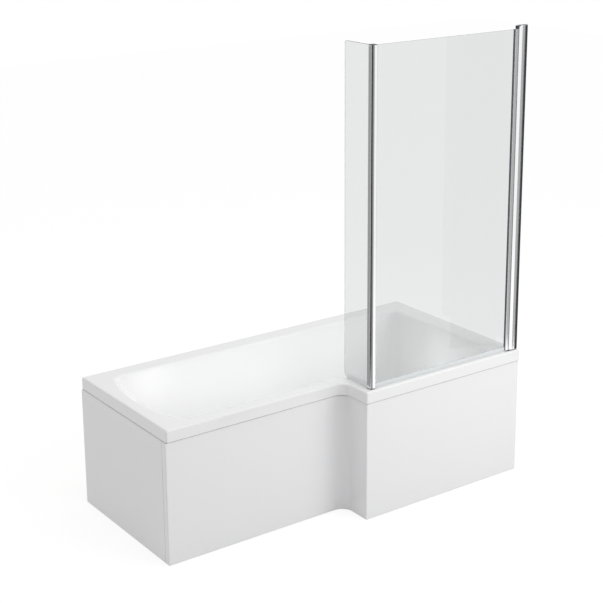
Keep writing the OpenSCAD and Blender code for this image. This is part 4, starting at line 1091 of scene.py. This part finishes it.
# %% [markdown]
# A deep white tub swallows light. Small round lamps hang down into it, below the rim, which lift
# its walls and its floor and leave the rim as it is. One row hangs before the top of the head
# slope, the brightest place in the photograph, the next along the middle and the last beyond the
# waste.

# %% Lamps in the tub
LAMP_RADIUS = 0.04


def lamp_row(name, first, last, count, power):
    """Small round lamps from one point to another: first + (last - first) * i / (count - 1)."""
    for number, place_at in enumerate(np.linspace(first, last, count).tolist(), 1):
        data = bpy.data.lights.new("%s_%d" % (name, number), "POINT")
        data.shadow_soft_size, data.energy = LAMP_RADIUS, power / count
        hang(data, place_at)
    print("%s: %d lamps, %.2f W" % (name, count, power))


lamp_row("head_slope_lamp", (-0.57, -0.14, 0.54), (-0.57, 0.22, 0.54), count=4, power=0.26)
lamp_row("middle_lamp", (-0.32, 0.07, 0.48), (0.0, 0.07, 0.48), count=3, power=0.40)
lamp_row("waste_lamp", (0.48, -0.06, 0.45), (0.57, -0.06, 0.45), count=2, power=0.43)

# %% [markdown]
# Bright metal needs something dark to reflect, or it looks like grey paint. Photographers hang black
# and grey cards round the set for that. Only glossy surfaces see these. The tall ones at the left
# and right give the upright profiles their bands of light and dark. A few smaller ones hang close
# to the corner profile and to the post, and tone the bands there and little else.

# %% Cards
UPRIGHT = np.array([0.0, 0.0, 1.0])


def card(name, middle, along, width, height, level):
    """An upright card with a grey level of its own that only glossy rays meet."""
    material, tree = bare_material(name)
    grey = add(tree, "Emission", {"Color": linear("FFFFFF"), "Strength": level})
    add(tree, "OutputMaterial", links={"Surface": grey.outputs[0]})
    sideways = np.array([*along, 0.0]) / np.hypot(*along)
    half = SQUARE / 2
    corners = np.array(middle) + half[:, :1] * width * sideways + half[:, 1:] * height * UPRIGHT
    board = stage_board(name, corners, material)
    board.visible_camera = board.visible_diffuse = board.visible_transmission = False
    board.visible_shadow = False
    print("%s: %.2f x %.2f m, level %.2f" % (name, width, height, level))


# Large cards: left of the bath, behind it and in front.
card("back_left_card", (-1.21, 0.44, 1.275), (1.0, 1.0), width=0.96, height=1.45, level=0.30)
card("front_left_card", (-0.90, -3.00, 1.0), (1.0, 0.0), width=0.80, height=2.0, level=0.16)
card("left_card", (-1.30, -1.20, 1.0), (0.0, 1.0), width=2.00, height=2.0, level=0.04)
# Large cards in one line at the right, from black at the back to grey at the front.
card("right_card", (2.0, -0.55, 1.1), (0.0, 1.0), width=1.30, height=2.2, level=0.05)
card("front_right_card", (2.0, -1.40, 1.1), (0.0, 1.0), width=0.38, height=2.2, level=0.25)
card("grey_front_card", (2.0, -1.90, 1.1), (0.0, 1.0), width=0.62, height=2.2, level=0.50)
# Small cards: three round the corner profile, from its left flat to its front, and one at the post.
card("corner_left_card", (-0.041, -0.352, 1.225), (0.935, 0.355), width=0.093, height=1.47, level=0.33)
card("corner_dark_card", (-0.177, -0.845, 1.115), (0.293, -0.142), width=0.326, height=1.63, level=0.22)
card("corner_grey_card", (0.117, -0.889, 1.115), (0.296, 0.055), width=0.301, height=1.63, level=0.44)
card("post_grey_card", (1.099, -0.954, 1.14), (0.208, 0.097), width=0.23, height=1.56, level=0.45)

# %% [markdown]
# ## Colour
# The Standard transform shows a colour as it is written.

# %% Finish
bpy.context.scene.view_settings.view_transform = "Standard"
